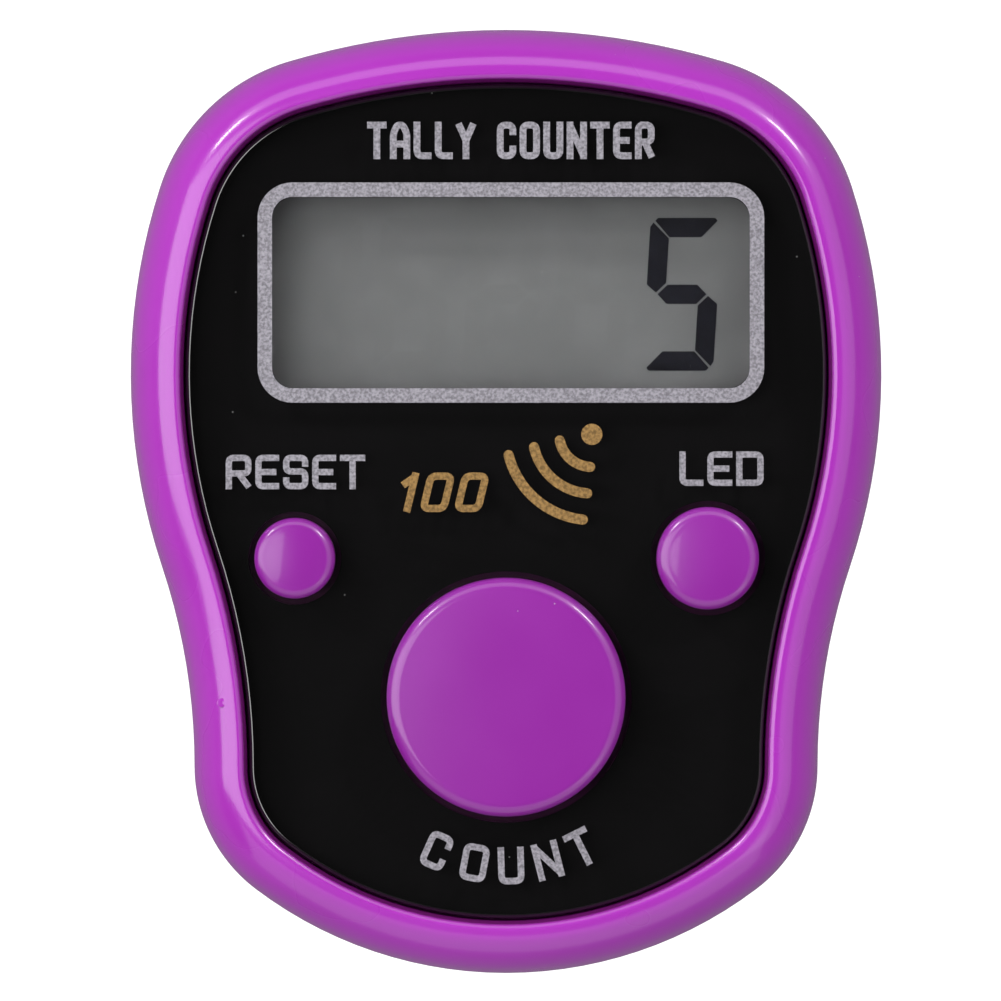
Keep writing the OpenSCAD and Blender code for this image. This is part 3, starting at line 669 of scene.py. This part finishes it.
def lettered(name, strokes, stroke):
    """One thin printed word: strokes with square free ends, those that cross made into one solid."""
    done = []
    for points, closed in strokes:
        pts = [Vector(p) for p in points]
        if not closed:
            pts[0] = pts[0] + (pts[0] - pts[1]).normalized() * stroke / 2
            pts[-1] = pts[-1] + (pts[-1] - pts[-2]).normalized() * stroke / 2
        bar = ribbon(pts, stroke, panel_top - PRINT_SINK, panel_top + PRINT_T, closed, round_ends=False)
        if done and touching(bar, done[-1]):
            carve(done[-1], [bar], "UNION")
        else:
            done.append(bar)
    return tidy_mesh(join(name, done), 30)


def touching(a, b):
    """Whether the boxes of two pieces meet, seen from above."""
    (ax, ay), (bx, by) = [[sorted(v.co[k] for v in o.data.vertices) for k in (0, 1)] for o in (a, b)]
    return ax[0] < bx[-1] and bx[0] < ax[-1] and ay[0] < by[-1] and by[0] < ay[-1]


def moved(strokes, x, y, turn=0.0):
    """Strokes turned about the origin and then moved."""
    c, s = math.cos(turn), math.sin(turn)
    return [([(x + px * c - py * s, y + px * s + py * c) for px, py in pts], closed) for pts, closed in strokes]


def window_frame():
    """The silver line printed round the display window."""
    return printed("window_frame", [(window_line(0.58 * MM, 0.62 * MM, 1.15 * MM, 10), True)], 0.6 * MM)


def curved_word(text, height, stroke, centre, radius, angles):
    """Letters set one by one round an arc under centre, feet outwards."""
    out = []
    for ch, deg in zip(text, angles):
        a = math.radians(deg)
        x = centre[0] + radius * math.sin(a)
        y = centre[1] - radius * math.cos(a)
        out += moved(word(ch, height, stroke, 0, squeeze=0.72), x, y, a)
    return out


def sound_mark(x, y):
    """Three arcs spreading from a dot, for the beep."""
    mid = math.radians(229)
    strokes = []
    for r, spread in ((1.35, 38), (2.45, 36.5), (3.55, 35)):
        half = math.radians(spread)
        strokes.append((arc_points(x, y, r * MM, mid - half, mid + half, 24), False))
    return strokes


# ---------------------------------------------------------------- display digits

def segment(a, b, t, gap):
    """A six-sided bar between two corners of a digit, pointed at both ends."""
    a, b = Vector(a), Vector(b)
    d = (b - a).normalized()
    side = Vector((-d.y, d.x)) * t / 2
    a, b = a + d * gap, b - d * gap
    return [a, a + d * t / 2 - side, b - d * t / 2 - side, b, b - d * t / 2 + side, a + d * t / 2 + side]


def digit_shapes(w, h, t):
    """Outlines of the seven bars of a digit about its centre, with clipped outer tips."""
    x, y, gap = (w - t) / 2, (h - t) / 2, 0.07 * MM
    clip, tip = 0.3 * MM, 0.12 * MM
    corners = {"tl": (-x, y), "tr": (x, y), "ml": (-x, 0), "mr": (x, 0), "bl": (-x, -y), "br": (x, -y)}
    bars = {
        "top": ("tl", "tr"), "upper_left": ("ml", "tl"), "upper_right": ("mr", "tr"), "middle": ("ml", "mr"),
        "lower_left": ("bl", "ml"), "lower_right": ("br", "mr"), "bottom": ("bl", "br"),
    }
    shapes = {}
    for name, (p, q) in bars.items():
        pts = segment(corners[p], corners[q], t, gap)
        if name in ("top", "bottom"):
            sign = 1 if name == "top" else -1
            half = [(w / 2 - clip, h / 2), (w / 2 - tip - gap, h / 2 - tip), (w / 2 - t - gap * 0.3, h / 2 - t)]
            pts = [Vector((px, sign * py)) for px, py in half] + [Vector((-px, sign * py)) for px, py in half[::-1]]
        elif name != "middle":
            sx = -1 if "left" in name else 1
            sy = 1 if "upper" in name else -1
            corner = [
                (w / 2, h / 2 - clip - gap), (w / 2 - tip, h / 2 - tip - gap), (w / 2 - t, h / 2 - t - gap * 0.7),
                (w / 2 - t, t / 2 + gap), (w / 2 - t / 2, gap), (w / 2, t / 2),
            ]
            pts = [Vector((sx * px, sy * py)) for px, py in corner]
        shapes[name] = pts
    return shapes


DIGIT = (2.97 * MM, 6.34 * MM, 0.8 * MM)
DIGIT_SLANT = 0.062
DIGIT_PITCH = 3.72 * MM
DIGIT_COUNT = 5
LAST_DIGIT = Vector((7.3 * MM, 8.6 * MM))


def digit_bars(name, bars, z0, z1, at=(0.0, 0.0)):
    """The named bars of one slanted digit, as thin solids."""
    shapes = digit_shapes(*DIGIT)
    parts = [
        prism("bar", [(p.x + DIGIT_SLANT * p.y + at[0], p.y + at[1]) for p in shapes[bar]], z0, z1)
        for bar in bars
    ]
    return tidy_mesh(join(name, parts), 30)


def wire(tree, node, inputs):
    """Sets each named socket of a node to a value, or links it from a socket."""
    for key, value in inputs.items():
        if isinstance(value, bpy.types.NodeSocket):
            tree.links.new(value, node.inputs[key])
        else:
            node.inputs[key].default_value = value


def add(tree, kind, inputs=None, **settings):
    """A new node with its properties and sockets set."""
    node = tree.nodes.new(kind)
    for key, value in settings.items():
        setattr(node, key, value)
    wire(tree, node, inputs or {})
    return node


def repeat_tree(name, finish):
    """Geometry Nodes: one part set down at every point of a piece, each turned a step more than the last."""
    tree = bpy.data.node_groups.new(name, "GeometryNodeTree")
    for label, way, kind in (
        ("Geometry", "INPUT", "Geometry"), ("Part", "INPUT", "Object"), ("Turn", "INPUT", "Float"),
        ("Geometry", "OUTPUT", "Geometry"),
    ):
        tree.interface.new_socket(label, in_out=way, socket_type="NodeSocket" + kind)
    given = add(tree, "NodeGroupInput").outputs
    part = add(tree, "GeometryNodeObjectInfo", {"Object": given["Part"]})
    index = add(tree, "GeometryNodeInputIndex")
    times = add(tree, "ShaderNodeMath", {0: index.outputs[0], 1: given["Turn"]}, operation="MULTIPLY")
    turn = add(tree, "ShaderNodeCombineXYZ", {"Z": times.outputs[0]})
    copies = add(tree, "GeometryNodeInstanceOnPoints", {
        "Points": given["Geometry"], "Instance": part.outputs["Geometry"], "Rotation": turn.outputs[0],
    })
    real = add(tree, "GeometryNodeRealizeInstances", {0: copies.outputs[0]})
    paint = add(tree, "GeometryNodeSetMaterial", {"Geometry": real.outputs[0], "Material": finish})
    add(tree, "NodeGroupOutput", {0: paint.outputs[0]})
    return tree


def repeated(name, part, finish, points, turn=0.0):
    """A piece made of copies of part at the given points."""
    base = mesh_object(name, points, [])
    mod = base.modifiers.new("repeat", "NODES")
    mod.node_group = repeat_tree(name + "_rule", finish)
    socket = {s.name: s.identifier for s in mod.node_group.interface.items_tree if s.in_out == "INPUT"}
    mod[socket["Part"]] = part
    mod[socket["Turn"]] = turn
    applied(base)
    bpy.data.objects.remove(part)
    return tidy_mesh(base, 35, recalc=False)


def screw_part(head_r, head_h, shank_r, shank_l):
    """A cross-head screw with its head's outer face at the origin, pointing up."""
    edge = 0.15 * MM
    screw = lathe("screw", [
        (0, 0), *arc_points(head_r - edge, edge, edge, -QUARTER, 0, 4),
        (head_r, head_h), (shank_r, head_h), (shank_r, head_h + shank_l), (0, head_h + shank_l),
    ], steps=40)
    long, slot, depth = head_r * 0.65, head_r * 0.16, head_h * 0.7
    return carve(screw, [
        prism("hole", [(-x, -y), (x, -y), (x, y), (-x, y)], -MM, depth) for x, y in ((long, slot), (slot, long))
    ])


# ---------------------------------------------------------------- finger band

BAND_W = 9 * MM
BAND_T = 1.5 * MM
LOOP_R = 6.5 * MM
KNUCKLE_R = 1.5 * MM
BORE_R = 0.66 * MM
HOLE_R = 1.1 * MM
HOLE_PITCH = 3.6 * MM
HOLE_COUNT = 5
TAB_T = 1.4 * MM
TAB_DROP = 7 * MM
STUD_DROP = 5 * MM
STUD_R = 0.75 * MM
CLOSE_TURN = math.radians(12)


def band_places():
    """The left pin, the band's middle on the free side, the stud's length and its height when buttoned."""
    pin = middle("left_pin")
    tab_offset = KNUCKLE_R - TAB_T
    throw = TAB_DROP * math.sin(CLOSE_TURN) - tab_offset * math.cos(CLOSE_TURN)
    face = -pin.x - throw - 0.08 * MM
    right = face - BAND_T / 2
    stud_l = -pin.x + tab_offset - face - 0.15 * MM
    stud_mid = tab_offset - stud_l * 0.7
    stud_z = pin.z - STUD_DROP * math.cos(CLOSE_TURN) - stud_mid * math.sin(CLOSE_TURN)
    return pin, right, stud_l, stud_z


def band_line():
    """Middle line of the band in the XZ plane, from its free end round to the left pin: [(x, z, nx, nz)]."""
    pin, right, _, _ = band_places()
    end = pin.z - KNUCKLE_R - 0.3 * MM
    low = BAND_T / 2 + LOOP_R
    line = [(right, end - (end - low) * i / 8, 1, 0) for i in range(8)]
    for x, start in ((right - LOOP_R, 0), (LOOP_R + pin.x, -QUARTER)):
        for i in range(33):
            a = start - QUARTER * i / 32
            line.append((x + LOOP_R * math.cos(a), low + LOOP_R * math.sin(a), math.cos(a), math.sin(a)))
    line += [(pin.x, low + (pin.z - low) * i / 8, -1, 0) for i in range(1, 9)]
    return line


def band_hole(s):
    """A round cutter through the band, at distance s below the stud."""
    _, right, _, stud_z = band_places()
    low = BAND_T / 2 + LOOP_R
    drop = stud_z - low
    bend = (s - drop) / LOOP_R
    if s <= drop:
        x, z, a = right, stud_z - s, 0
    elif bend <= math.pi / 2:
        x, z, a = right - LOOP_R + LOOP_R * math.cos(bend), low - LOOP_R * math.sin(bend), -bend
    else:
        x, z, a = right - LOOP_R - (bend - math.pi / 2) * LOOP_R, BAND_T / 2, -math.pi / 2
    obj = rod("hole", (0, 0, 0), HOLE_R, 3 * BAND_T, "X", steps=40)
    obj.data.transform(Matrix.Translation((x, 0, z)) @ Matrix.Rotation(-a, 4, "Y"))
    return obj


def knuckled(obj, pin, added, cut):
    """The object with the eye that turns on a pin and what else is added, then its bore and other holes cut."""
    eye = rod("knuckle", (pin.x, 0, pin.z), KNUCKLE_R, BAND_W, "Y", edge=0.25 * MM, steps=72)
    carve(obj, [eye, *added], "UNION")
    carve(obj, [rod("hole", (pin.x, 0, pin.z), BORE_R, BAND_W + 4 * MM, "Y", steps=48), *cut])
    return tidy_mesh(obj, 40)


def finger_band():
    """The moulded band from its free end round to the left pin, with its eye and its row of holes."""
    section = rounded_rect(BAND_T, BAND_W, 0.45 * MM, 5)
    rings = [[(x + nx * out, y, z + nz * out) for out, y in section] for x, z, nx, nz in band_line()]
    band = tidy_mesh(skin("band", rings), 40)
    return knuckled(band, middle("left_pin"), [], [band_hole(i * HOLE_PITCH) for i in range(HOLE_COUNT)])


def clasp_tab():
    """The short tab on the right pin, with round corners and the stud that buttons into the band."""
    _, _, stud_l, _ = band_places()
    pin = middle("right_pin")
    x0 = pin.x + KNUCKLE_R - TAB_T
    side, r = BAND_W / 2, 2.2 * MM
    tab = prism("tab", [
        (-side, 0), *arc_points(r - side, r - TAB_DROP, r, math.pi, 3 * QUARTER, 12),
        *arc_points(side - r, r - TAB_DROP, r, -QUARTER, 0, 12), (side, 0),
    ], 0, TAB_T)
    tab.data.transform(Matrix(((0, 0, 1, x0), (1, 0, 0, 0), (0, 1, 0, pin.z), (0, 0, 0, 1))))
    tidy_mesh(tab)
    bevelled(tab, 0.4 * MM, 4, 60)
    tidy_mesh(tab, 40)
    root = 0.5 * MM
    stud = rod("stud", (x0 + (root - stud_l) / 2, 0, pin.z - STUD_DROP), STUD_R, stud_l + root, "X",
               edge=0.18 * MM, steps=48)
    return knuckled(tab, pin, [stud], [])


# ---------------------------------------------------------------- finishes

def group_with(name, inputs, outputs):
    """A shader node group with named number inputs and outputs, and its inputs as seen from inside."""
    tree = bpy.data.node_groups.new(name, "ShaderNodeTree")
    for label, value in inputs.items():
        tree.interface.new_socket(label, in_out="INPUT", socket_type="NodeSocketFloat").default_value = value
    for label in outputs:
        tree.interface.new_socket(label, in_out="OUTPUT", socket_type="NodeSocketFloat")
    return tree, add(tree, "NodeGroupInput").outputs


def object_noise(tree, scale, stretch=(1, 1, 1), detail=3.0):
    """A noise on Object coordinates, drawn out along an axis by stretch."""
    place = add(tree, "ShaderNodeTexCoord")
    drawn = add(tree, "ShaderNodeMapping", {"Vector": place.outputs["Object"], "Scale": stretch})
    noise = add(tree, "ShaderNodeTexNoise", {
        "Vector": drawn.outputs[0], "Scale": scale, "Detail": detail, "Roughness": 0.55,
    })
    return noise.outputs["Fac"]


def grain_group():
    """Even grain: a fine height and a broad change of tone."""
    tree, given = group_with("grain", {"Fine Scale": 6000.0, "Broad Scale": 200.0}, ["Height", "Tone"])
    fine = object_noise(tree, given["Fine Scale"])
    broad = object_noise(tree, given["Broad Scale"], detail=2.0)
    spread = add(tree, "ShaderNodeMapRange", {"Value": broad, "From Min": 0.2, "From Max": 0.8},
                 interpolation_type="SMOOTHERSTEP")
    add(tree, "NodeGroupOutput", {"Height": fine, "Tone": spread.outputs[0]})
    return tree


def brushed_group():
    """Long fine lines, as on drawn or ground metal."""
    tree, given = group_with("brushed", {"Fine Scale": 2500.0, "Broad Scale": 300.0}, ["Height", "Tone"])
    lines = object_noise(tree, given["Fine Scale"], (1, 0.06, 1), 4.0)
    add(tree, "NodeGroupOutput", {"Height": lines, "Tone": object_noise(tree, given["Broad Scale"])})
    return tree


def dust_group():
    """A mask of sparse specks of dust."""
    tree, given = group_with("dust", {"Scale": 900.0, "Amount": 0.04}, ["Mask"])
    place = add(tree, "ShaderNodeTexCoord")
    cells = add(tree, "ShaderNodeTexVoronoi", {"Vector": place.outputs["Object"], "Scale": given["Scale"]})
    speck = add(tree, "ShaderNodeMath", {0: cells.outputs["Distance"], 1: given["Amount"]}, operation="LESS_THAN")
    rare = object_noise(tree, given["Scale"], detail=0.0)
    kept = add(tree, "ShaderNodeMath", {0: rare, 1: 0.56}, operation="GREATER_THAN")
    both = add(tree, "ShaderNodeMath", {0: speck.outputs[0], 1: kept.outputs[0]}, operation="MULTIPLY")
    add(tree, "NodeGroupOutput", {"Mask": both.outputs[0]})
    return tree


GRAIN, BRUSHED, DUST = grain_group(), brushed_group(), dust_group()


def use_group(tree, group, values):
    """The outputs of a shared effect, with its values set."""
    return add(tree, "ShaderNodeGroup", values, node_tree=group).outputs


# A Mix node's kind, its two inputs and its result, for colours and for numbers
COLOUR, NUMBER = ("RGBA", 6, 7, 2), ("FLOAT", 2, 3, 0)


def mixed(tree, factor, low, high, kind=NUMBER):
    """low where factor is 0 and high where it is 1."""
    data, a, b, result = kind
    return add(tree, "ShaderNodeMix", {0: factor, a: low, b: high}, data_type=data).outputs[result]


def new_material(name):
    """A new material, its node tree and its main shader."""
    mat = bpy.data.materials.new(name)
    mat.use_nodes = True
    return mat, mat.node_tree, mat.node_tree.nodes["Principled BSDF"]


def see_through(tree, factor, shader, through):
    """Shows shader where factor is 0 and through where it is 1."""
    mix = add(tree, "ShaderNodeMixShader", {0: factor, 1: shader.outputs[0], 2: through.outputs[0]})
    wire(tree, tree.nodes["Material Output"], {"Surface": mix.outputs[0]})


def finish_of(
    name, colour, rough, spread=0.05, tone=0.06, fine=6000.0, broad=200.0, bump=0.1, depth=5e-6, metallic=0.0,
    coat=0.0, coat_rough=0.03, sheen=0.0, specular=0.5, dust=0.0, painted_gap_shade=0.0, grain=None,
):
    """A material with a fine bump, a slight change of tone and gloss, optional dust, and optional painted shade that
    darkens gaps.
    """
    mat, tree, shader = new_material(name)
    grain = use_group(tree, grain or GRAIN, {"Fine Scale": fine, "Broad Scale": broad})
    dark, light = [(*[min(1.0, c * t) for c in colour], 1) for t in (1 - tone, 1 + tone)]
    base = mixed(tree, grain["Tone"], dark, light, COLOUR)
    gloss = mixed(tree, grain["Tone"], max(0.02, rough - spread), min(1.0, rough + spread))
    if dust:
        specks = use_group(tree, DUST, {"Amount": dust})["Mask"]
        base = mixed(tree, specks, base, (*[0.5 * c + 0.3 for c in colour], 1), COLOUR)
    # Painted shade: where depth_shade marks a gap, the colour is pulled towards a dark crimson and the coat is taken
    # away. This stands in for the shade deep in the gap.
    if painted_gap_shade:
        gap = add(tree, "ShaderNodeAttribute", attribute_name="depth_shade").outputs["Fac"]
        part = add(tree, "ShaderNodeMath", {0: gap, 1: painted_gap_shade}, operation="MULTIPLY").outputs[0]
        base = mixed(tree, part, base, (0.3 * colour[0], 0.12 * colour[1], 0.2 * colour[2], 1), COLOUR)
        coat = mixed(tree, gap, coat, 0.0)
    bumped = add(tree, "ShaderNodeBump", {"Strength": bump, "Distance": depth, "Height": grain["Height"]})
    wire(tree, shader, {
        "Base Color": base, "Roughness": gloss, "Normal": bumped.outputs[0], "Metallic": metallic,
        "Coat Weight": coat, "Coat Roughness": coat_rough, "Sheen Weight": sheen, "Specular IOR Level": specular,
    })
    return mat


def clear_finish(name, tint, rough, ior):
    """Clear moulded or float material; light reaches what is behind it."""
    mat, tree, shader = new_material(name)
    tone = use_group(tree, GRAIN, {"Fine Scale": 1500.0, "Broad Scale": 250.0})["Tone"]
    wire(tree, shader, {
        "Transmission Weight": 1, "IOR": ior,
        "Base Color": mixed(tree, tone, (*[0.985 * c for c in tint], 1), (*tint, 1), COLOUR),
        "Roughness": mixed(tree, tone, max(0.0, rough - 0.01), rough + 0.01),
    })
    path = add(tree, "ShaderNodeLightPath")
    through = add(tree, "ShaderNodeBsdfTransparent", {"Color": (*[0.95 * c for c in tint], 1)})
    see_through(tree, path.outputs["Is Shadow Ray"], shader, through)
    return mat


PURPLE = (0.375, 0.027, 0.44)
CAP_PURPLE = (0.25, 0.013, 0.3)
edge_finish = finish_of("polished_edge", (0.006, 0.006, 0.006), 0.12, tone=0.3, fine=3000.0, broad=600.0,
                        specular=1.0, coat=1.0, coat_rough=0.06)
segment_off = finish_of("display_faint", (0.12, 0.1225, 0.123), 0.38, tone=0.03, broad=380.0, specular=0.2)
# The shell and button finishes darken with painted shade where depth_shade marks a gap.
FINISHES = {
    "shell": finish_of("moulded_purple", PURPLE, 0.27, spread=0.04, tone=0.03, fine=2600.0, broad=140.0, bump=0.15,
                       depth=6e-6, coat=0.55, coat_rough=0.11, dust=0.02, painted_gap_shade=0.85),
    "button_plastic": finish_of("polished_purple", CAP_PURPLE, 0.32, spread=0.04, tone=0.03, fine=1800.0,
                                broad=170.0, bump=0.1, depth=5e-6, coat=0.5, coat_rough=0.08, dust=0.028, painted_gap_shade=1.0),
    "panel_acrylic": clear_finish("clear_acrylic", (0.98, 0.98, 0.98), 0.015, 1.49),
    "black_ink": finish_of("black_ink", (0.002, 0.0016, 0.0021), 0.6, tone=0.3, broad=300.0, specular=0.1,
                           dust=0.03),
    "silver_ink": finish_of("silver_ink", (0.27, 0.257, 0.29), 0.42, tone=0.42, fine=9000.0, broad=8500.0, bump=0.9,
                            depth=1.2e-5, metallic=0.2),
    "gold_ink": finish_of("gold_ink", (0.27, 0.155, 0.048), 0.42, tone=0.42, fine=9000.0, broad=7500.0, bump=0.9,
                          depth=1.2e-5, metallic=0.3),
    "display_ink": finish_of("display_dark", (0.0035, 0.0035, 0.007), 0.4, tone=0.3, broad=1500.0, specular=0.15),
    "tape": finish_of("tape", (0.02, 0.02, 0.02), 0.7, tone=0.2),
    "film": finish_of("display_film", (0.1225, 0.125, 0.126), 0.38, tone=0.07, broad=380.0, bump=0.15, specular=0.2,
                      dust=0.02),
    "display_glass": clear_finish("display_glass", (0.9, 0.95, 0.93), 0.01, 1.52),
    "diffuser": finish_of("frosted_diffuser", (0.8, 0.82, 0.8), 0.5),
    "lamp_plastic": finish_of("lamp_body", (0.85, 0.82, 0.7), 0.4),
    "striped_rubber": finish_of("contact_rubber", (0.4, 0.4, 0.42), 0.8, tone=0.3, broad=4000.0),
    "board": finish_of("board_mask", (0.03, 0.16, 0.07), 0.35, tone=0.2, broad=700.0),
    "resin": finish_of("resin_drop", (0.015, 0.015, 0.016), 0.15, tone=0.2),
    "chip_body": finish_of("chip_body", (0.03, 0.03, 0.03), 0.6, tone=0.2),
    "silicone": finish_of("grey_silicone", (0.45, 0.45, 0.46), 0.6, sheen=0.1),
    "carbon": finish_of("carbon_pill", (0.02, 0.02, 0.02), 0.7, tone=0.3),
    "holder_plastic": finish_of("holder_plastic", (0.75, 0.75, 0.72), 0.45),
    "spring_steel": finish_of("spring_steel", (0.68, 0.68, 0.7), 0.3, metallic=1, grain=BRUSHED, bump=0.2),
    "cell_can": finish_of("cell_can", (0.7, 0.7, 0.72), 0.25, metallic=1, grain=BRUSHED, bump=0.2),
    "screw_steel": finish_of("screw_steel", (0.6, 0.6, 0.62), 0.3, metallic=1, grain=BRUSHED, bump=0.3, tone=0.15),
    "brass_sheet": finish_of("brass_sheet", (0.72, 0.53, 0.22), 0.3, metallic=1, grain=BRUSHED, bump=0.2, tone=0.1),
    "ceramic": finish_of("silvered_ceramic", (0.8, 0.78, 0.7), 0.5, tone=0.1),
    "wire": finish_of("wire_sleeve", (0.5, 0.02, 0.02), 0.45),
    "pin_steel": finish_of("pin_steel", (0.58, 0.58, 0.6), 0.28, metallic=1, grain=BRUSHED, bump=0.3, tone=0.12),
    "band_rubber": finish_of("black_silicone", (0.014, 0.014, 0.015), 0.58, spread=0.08, tone=0.25, fine=3500.0,
                             broad=250.0, bump=0.35, depth=1.2e-5, sheen=0.15, dust=0.05),
}
for part in frame["record"]["subparts"]:
    cad = frame["nodes"][part["node"]]
    cad.data.materials.clear()
    cad.data.materials.append(FINISHES[part["material_slot"]])


def place(obj, body, slot, finish=None, stands_for=()):
    """Gives a finished piece its material, its body and what it stands for."""
    obj.data.materials.clear()
    obj.data.materials.append(finish or FINISHES[slot])
    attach(obj, body)
    if stands_for:
        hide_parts(*stands_for)
    return obj


# ---------------------------------------------------------------- pieces

place(front_shell(), "case", "shell", stands_for=["front_cover"])
place(back_shell(), "case", "shell", stands_for=["back_cover"])
place(face_pane(), "case", "panel_acrylic", stands_for=["face_panel"])
place(pane_edge(), "case", "black_ink", edge_finish)
for key, (cap, edge, crown, _) in KEYS.items():
    node = key + "_button"
    place(key_cap(cap, node, edge, crown), key + "_key", "button_plastic", stands_for=[node])

low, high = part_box("case_screws")
shank_l = high.z - low.z - SCREW_HEAD_H
screw_z = back_z + SCREW_SEAT - SCREW_HEAD_H
screws = repeated(
    "cover_screws", screw_part(SCREW_HEAD_R, SCREW_HEAD_H, 0.7 * MM, shank_l), FINISHES["screw_steel"],
    points=[(x, y, screw_z) for x, y in SCREW_PLACES], turn=0.6,
)
place(screws, "case", "screw_steel", stands_for=["case_screws"])
place(finger_band(), "band", "band_rubber", stands_for=["finger_band"])
place(clasp_tab(), "clasp", "band_rubber", stands_for=["clasp_tab"])

for name, width in (("battery_door", 0.09 * MM), ("left_pin", 0.12 * MM), ("right_pin", 0.12 * MM)):
    cad = frame["nodes"][name]
    cad.modifiers.new("merge", "WELD").merge_threshold = 1e-6
    soft = cad.modifiers.new("edges", "BEVEL")
    soft.width, soft.segments, soft.limit_method, soft.angle_limit = width, 2, "ANGLE", math.radians(50)
    cad.modifiers.new("shading", "WEIGHTED_NORMAL")

place(window_frame(), "case", "silver_ink")
LABEL_H, LABEL_STROKE = 1.43 * MM, 0.26 * MM
COUNT_TURNS = (-24.3, -10.8, 1.7, 14.3, 26.6)
title = word("TALLY COUNTER", 1.55 * MM, 0.28 * MM, 0.42 * MM, squeeze=0.49)
reset_word = word("RESET", LABEL_H, LABEL_STROKE, 0.42 * MM, squeeze=0.8)
led_word = word("LED", LABEL_H, LABEL_STROKE, 0.42 * MM, squeeze=0.85)
count_word = curved_word("COUNT", 1.55 * MM, 0.27 * MM, middle("count_button").xy, 6.98 * MM, COUNT_TURNS)
hundred = word("100", 1.64 * MM, 0.3 * MM, 0.58 * MM, slant=0.24, squeeze=0.7)
for name, strokes, x, y, stroke, ink in (
    ("title_print", title, 0.2, 14.95, 0.28 * MM, "silver_ink"),
    ("reset_print", reset_word, -8.72, 1.22, LABEL_STROKE, "silver_ink"),
    ("led_print", led_word, 8.92, 1.36, LABEL_STROKE, "silver_ink"),
    ("count_print", count_word, 0, 0, 0.27 * MM, "silver_ink"),
    ("hundred_print", hundred, -2.62, 0.38, 0.3 * MM, "gold_ink"),
):
    place(lettered(name, moved(strokes, x * MM, y * MM), stroke), "case", ink)
SOUND_DOT = (3.55 * MM, 2.78 * MM)
place(printed("sound_arcs", sound_mark(*SOUND_DOT), 0.42 * MM), "case", "gold_ink")
place(rod("sound_dot", (*SOUND_DOT, panel_top), 0.44 * MM, 2 * PRINT_T, steps=32), "case", "gold_ink")

EVERY_BAR = ("top", "upper_left", "upper_right", "middle", "lower_left", "lower_right", "bottom")
FIVE = ("top", "upper_left", "middle", "lower_right", "bottom")
lit = digit_bars("lit_digit", FIVE, floor_z - 0.005 * MM, floor_z + 0.02 * MM, LAST_DIGIT)
place(lit, "case", "display_ink")
first = LAST_DIGIT.x - DIGIT_PITCH * (DIGIT_COUNT - 1)
faint = repeated(
    "faint_digits", digit_bars("bars", EVERY_BAR, 0, 0.01 * MM), segment_off,
    points=[(first + DIGIT_PITCH * i, LAST_DIGIT.y, floor_z - 0.003 * MM) for i in range(DIGIT_COUNT - 1)],
)
place(faint, "case", "film", segment_off)

for key, (*_, travel) in KEYS.items():
    node = key + "_dome"
    low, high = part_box(node)
    dome = place(contact_dome(key + "_contact_dome", node), "case", "silicone", stands_for=[node])
    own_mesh(dome)


# ---------------------------------------------------------------- studio

def floor_finish():
    """A pale floor that glows evenly to the camera, throws no shadow and can be seen through from below."""
    mat, tree, shader = new_material("pale_floor")
    path = add(tree, "ShaderNodeLightPath").outputs
    side = add(tree, "ShaderNodeNewGeometry").outputs
    glow = add(tree, "ShaderNodeMath", {0: path["Is Camera Ray"], 1: FLOOR_GLOW, 2: FLOOR_FILL},
               operation="MULTIPLY_ADD")
    either = add(tree, "ShaderNodeMath", {0: side["Backfacing"], 1: path["Is Shadow Ray"]}, operation="MAXIMUM")
    wire(tree, shader, {
        "Base Color": (0.12, 0.12, 0.12, 1), "Roughness": 0.8, "Specular IOR Level": 0.1,
        "Emission Color": (1, 1, 1, 1), "Emission Strength": glow.outputs[0],
    })
    see_through(tree, either.outputs[0], shader, add(tree, "ShaderNodeBsdfTransparent"))
    return mat


FLOOR_GLOW, FLOOR_FILL = 1.0, 0.07
FLOOR_Z = -0.1 * MM
corners = [(x, y, FLOOR_Z) for x, y in ((-1, -1), (1, -1), (1, 1), (-1, 1))]
floor = mesh_object("floor", corners, [(0, 1, 2, 3)])
floor.data.materials.append(floor_finish())
floor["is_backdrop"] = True


def softbox(name, azimuth, off_vertical, width, height, radiance):
    """A soft light aimed at the face: azimuth in degrees from +X, and how far it leans from straight above."""
    turn, lean = math.radians(azimuth), math.radians(off_vertical)
    away = Vector((math.sin(lean) * math.cos(turn), math.sin(lean) * math.sin(turn), math.cos(lean)))
    data = bpy.data.lights.new(name, "AREA")
    data.shape, data.size, data.size_y = "RECTANGLE", width, height
    data.energy = radiance * math.pi * width * height
    light = new_object(name, data)
    light.location = Vector((0, 0, crest_z)) + away * LIGHT_AWAY
    light.rotation_euler = away.to_track_quat("Z", "Y").to_euler()


LIGHT_AWAY = 0.5
softbox("left_box", 174, 45, 0.36, 0.67, 3.2)
softbox("right_box", 0, 55, 0.8, 0.55, 0.85)
softbox("top_box", 90, 61, 0.9, 0.34, 1.5)
softbox("foot_box", 270, 62, 1.2, 0.6, 0.9)
softbox("left_spot", 135, 64, 0.11, 0.05, 38)
softbox("right_spot", 45, 61, 0.11, 0.05, 38)
softbox("under_box", 200, 180, 0.9, 0.9, 0.6)

world = bpy.data.worlds.new("studio")
world.use_nodes = True
wire(world.node_tree, world.node_tree.nodes["Background"], {"Color": (1, 1, 1, 1), "Strength": 0.045})
bpy.context.scene.world = world

# The camera looks straight down on the face from far enough away to show no perspective
CAMERA_HIGH = 0.7
FRAME_W = 41.7 * MM
EYE_LEVEL = back_z + 8 * MM
view = bpy.data.cameras.new("camera")
view.sensor_width = 36
view.lens = view.sensor_width * (CAMERA_HIGH - EYE_LEVEL) / FRAME_W
view.clip_start, view.clip_end = 0.01, 10
camera = new_object("camera", view)
camera.location = (-0.23 * MM, 0.04 * MM, CAMERA_HIGH)
bpy.context.scene.camera = camera
bpy.context.scene.view_settings.view_transform = "Standard"

low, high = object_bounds()
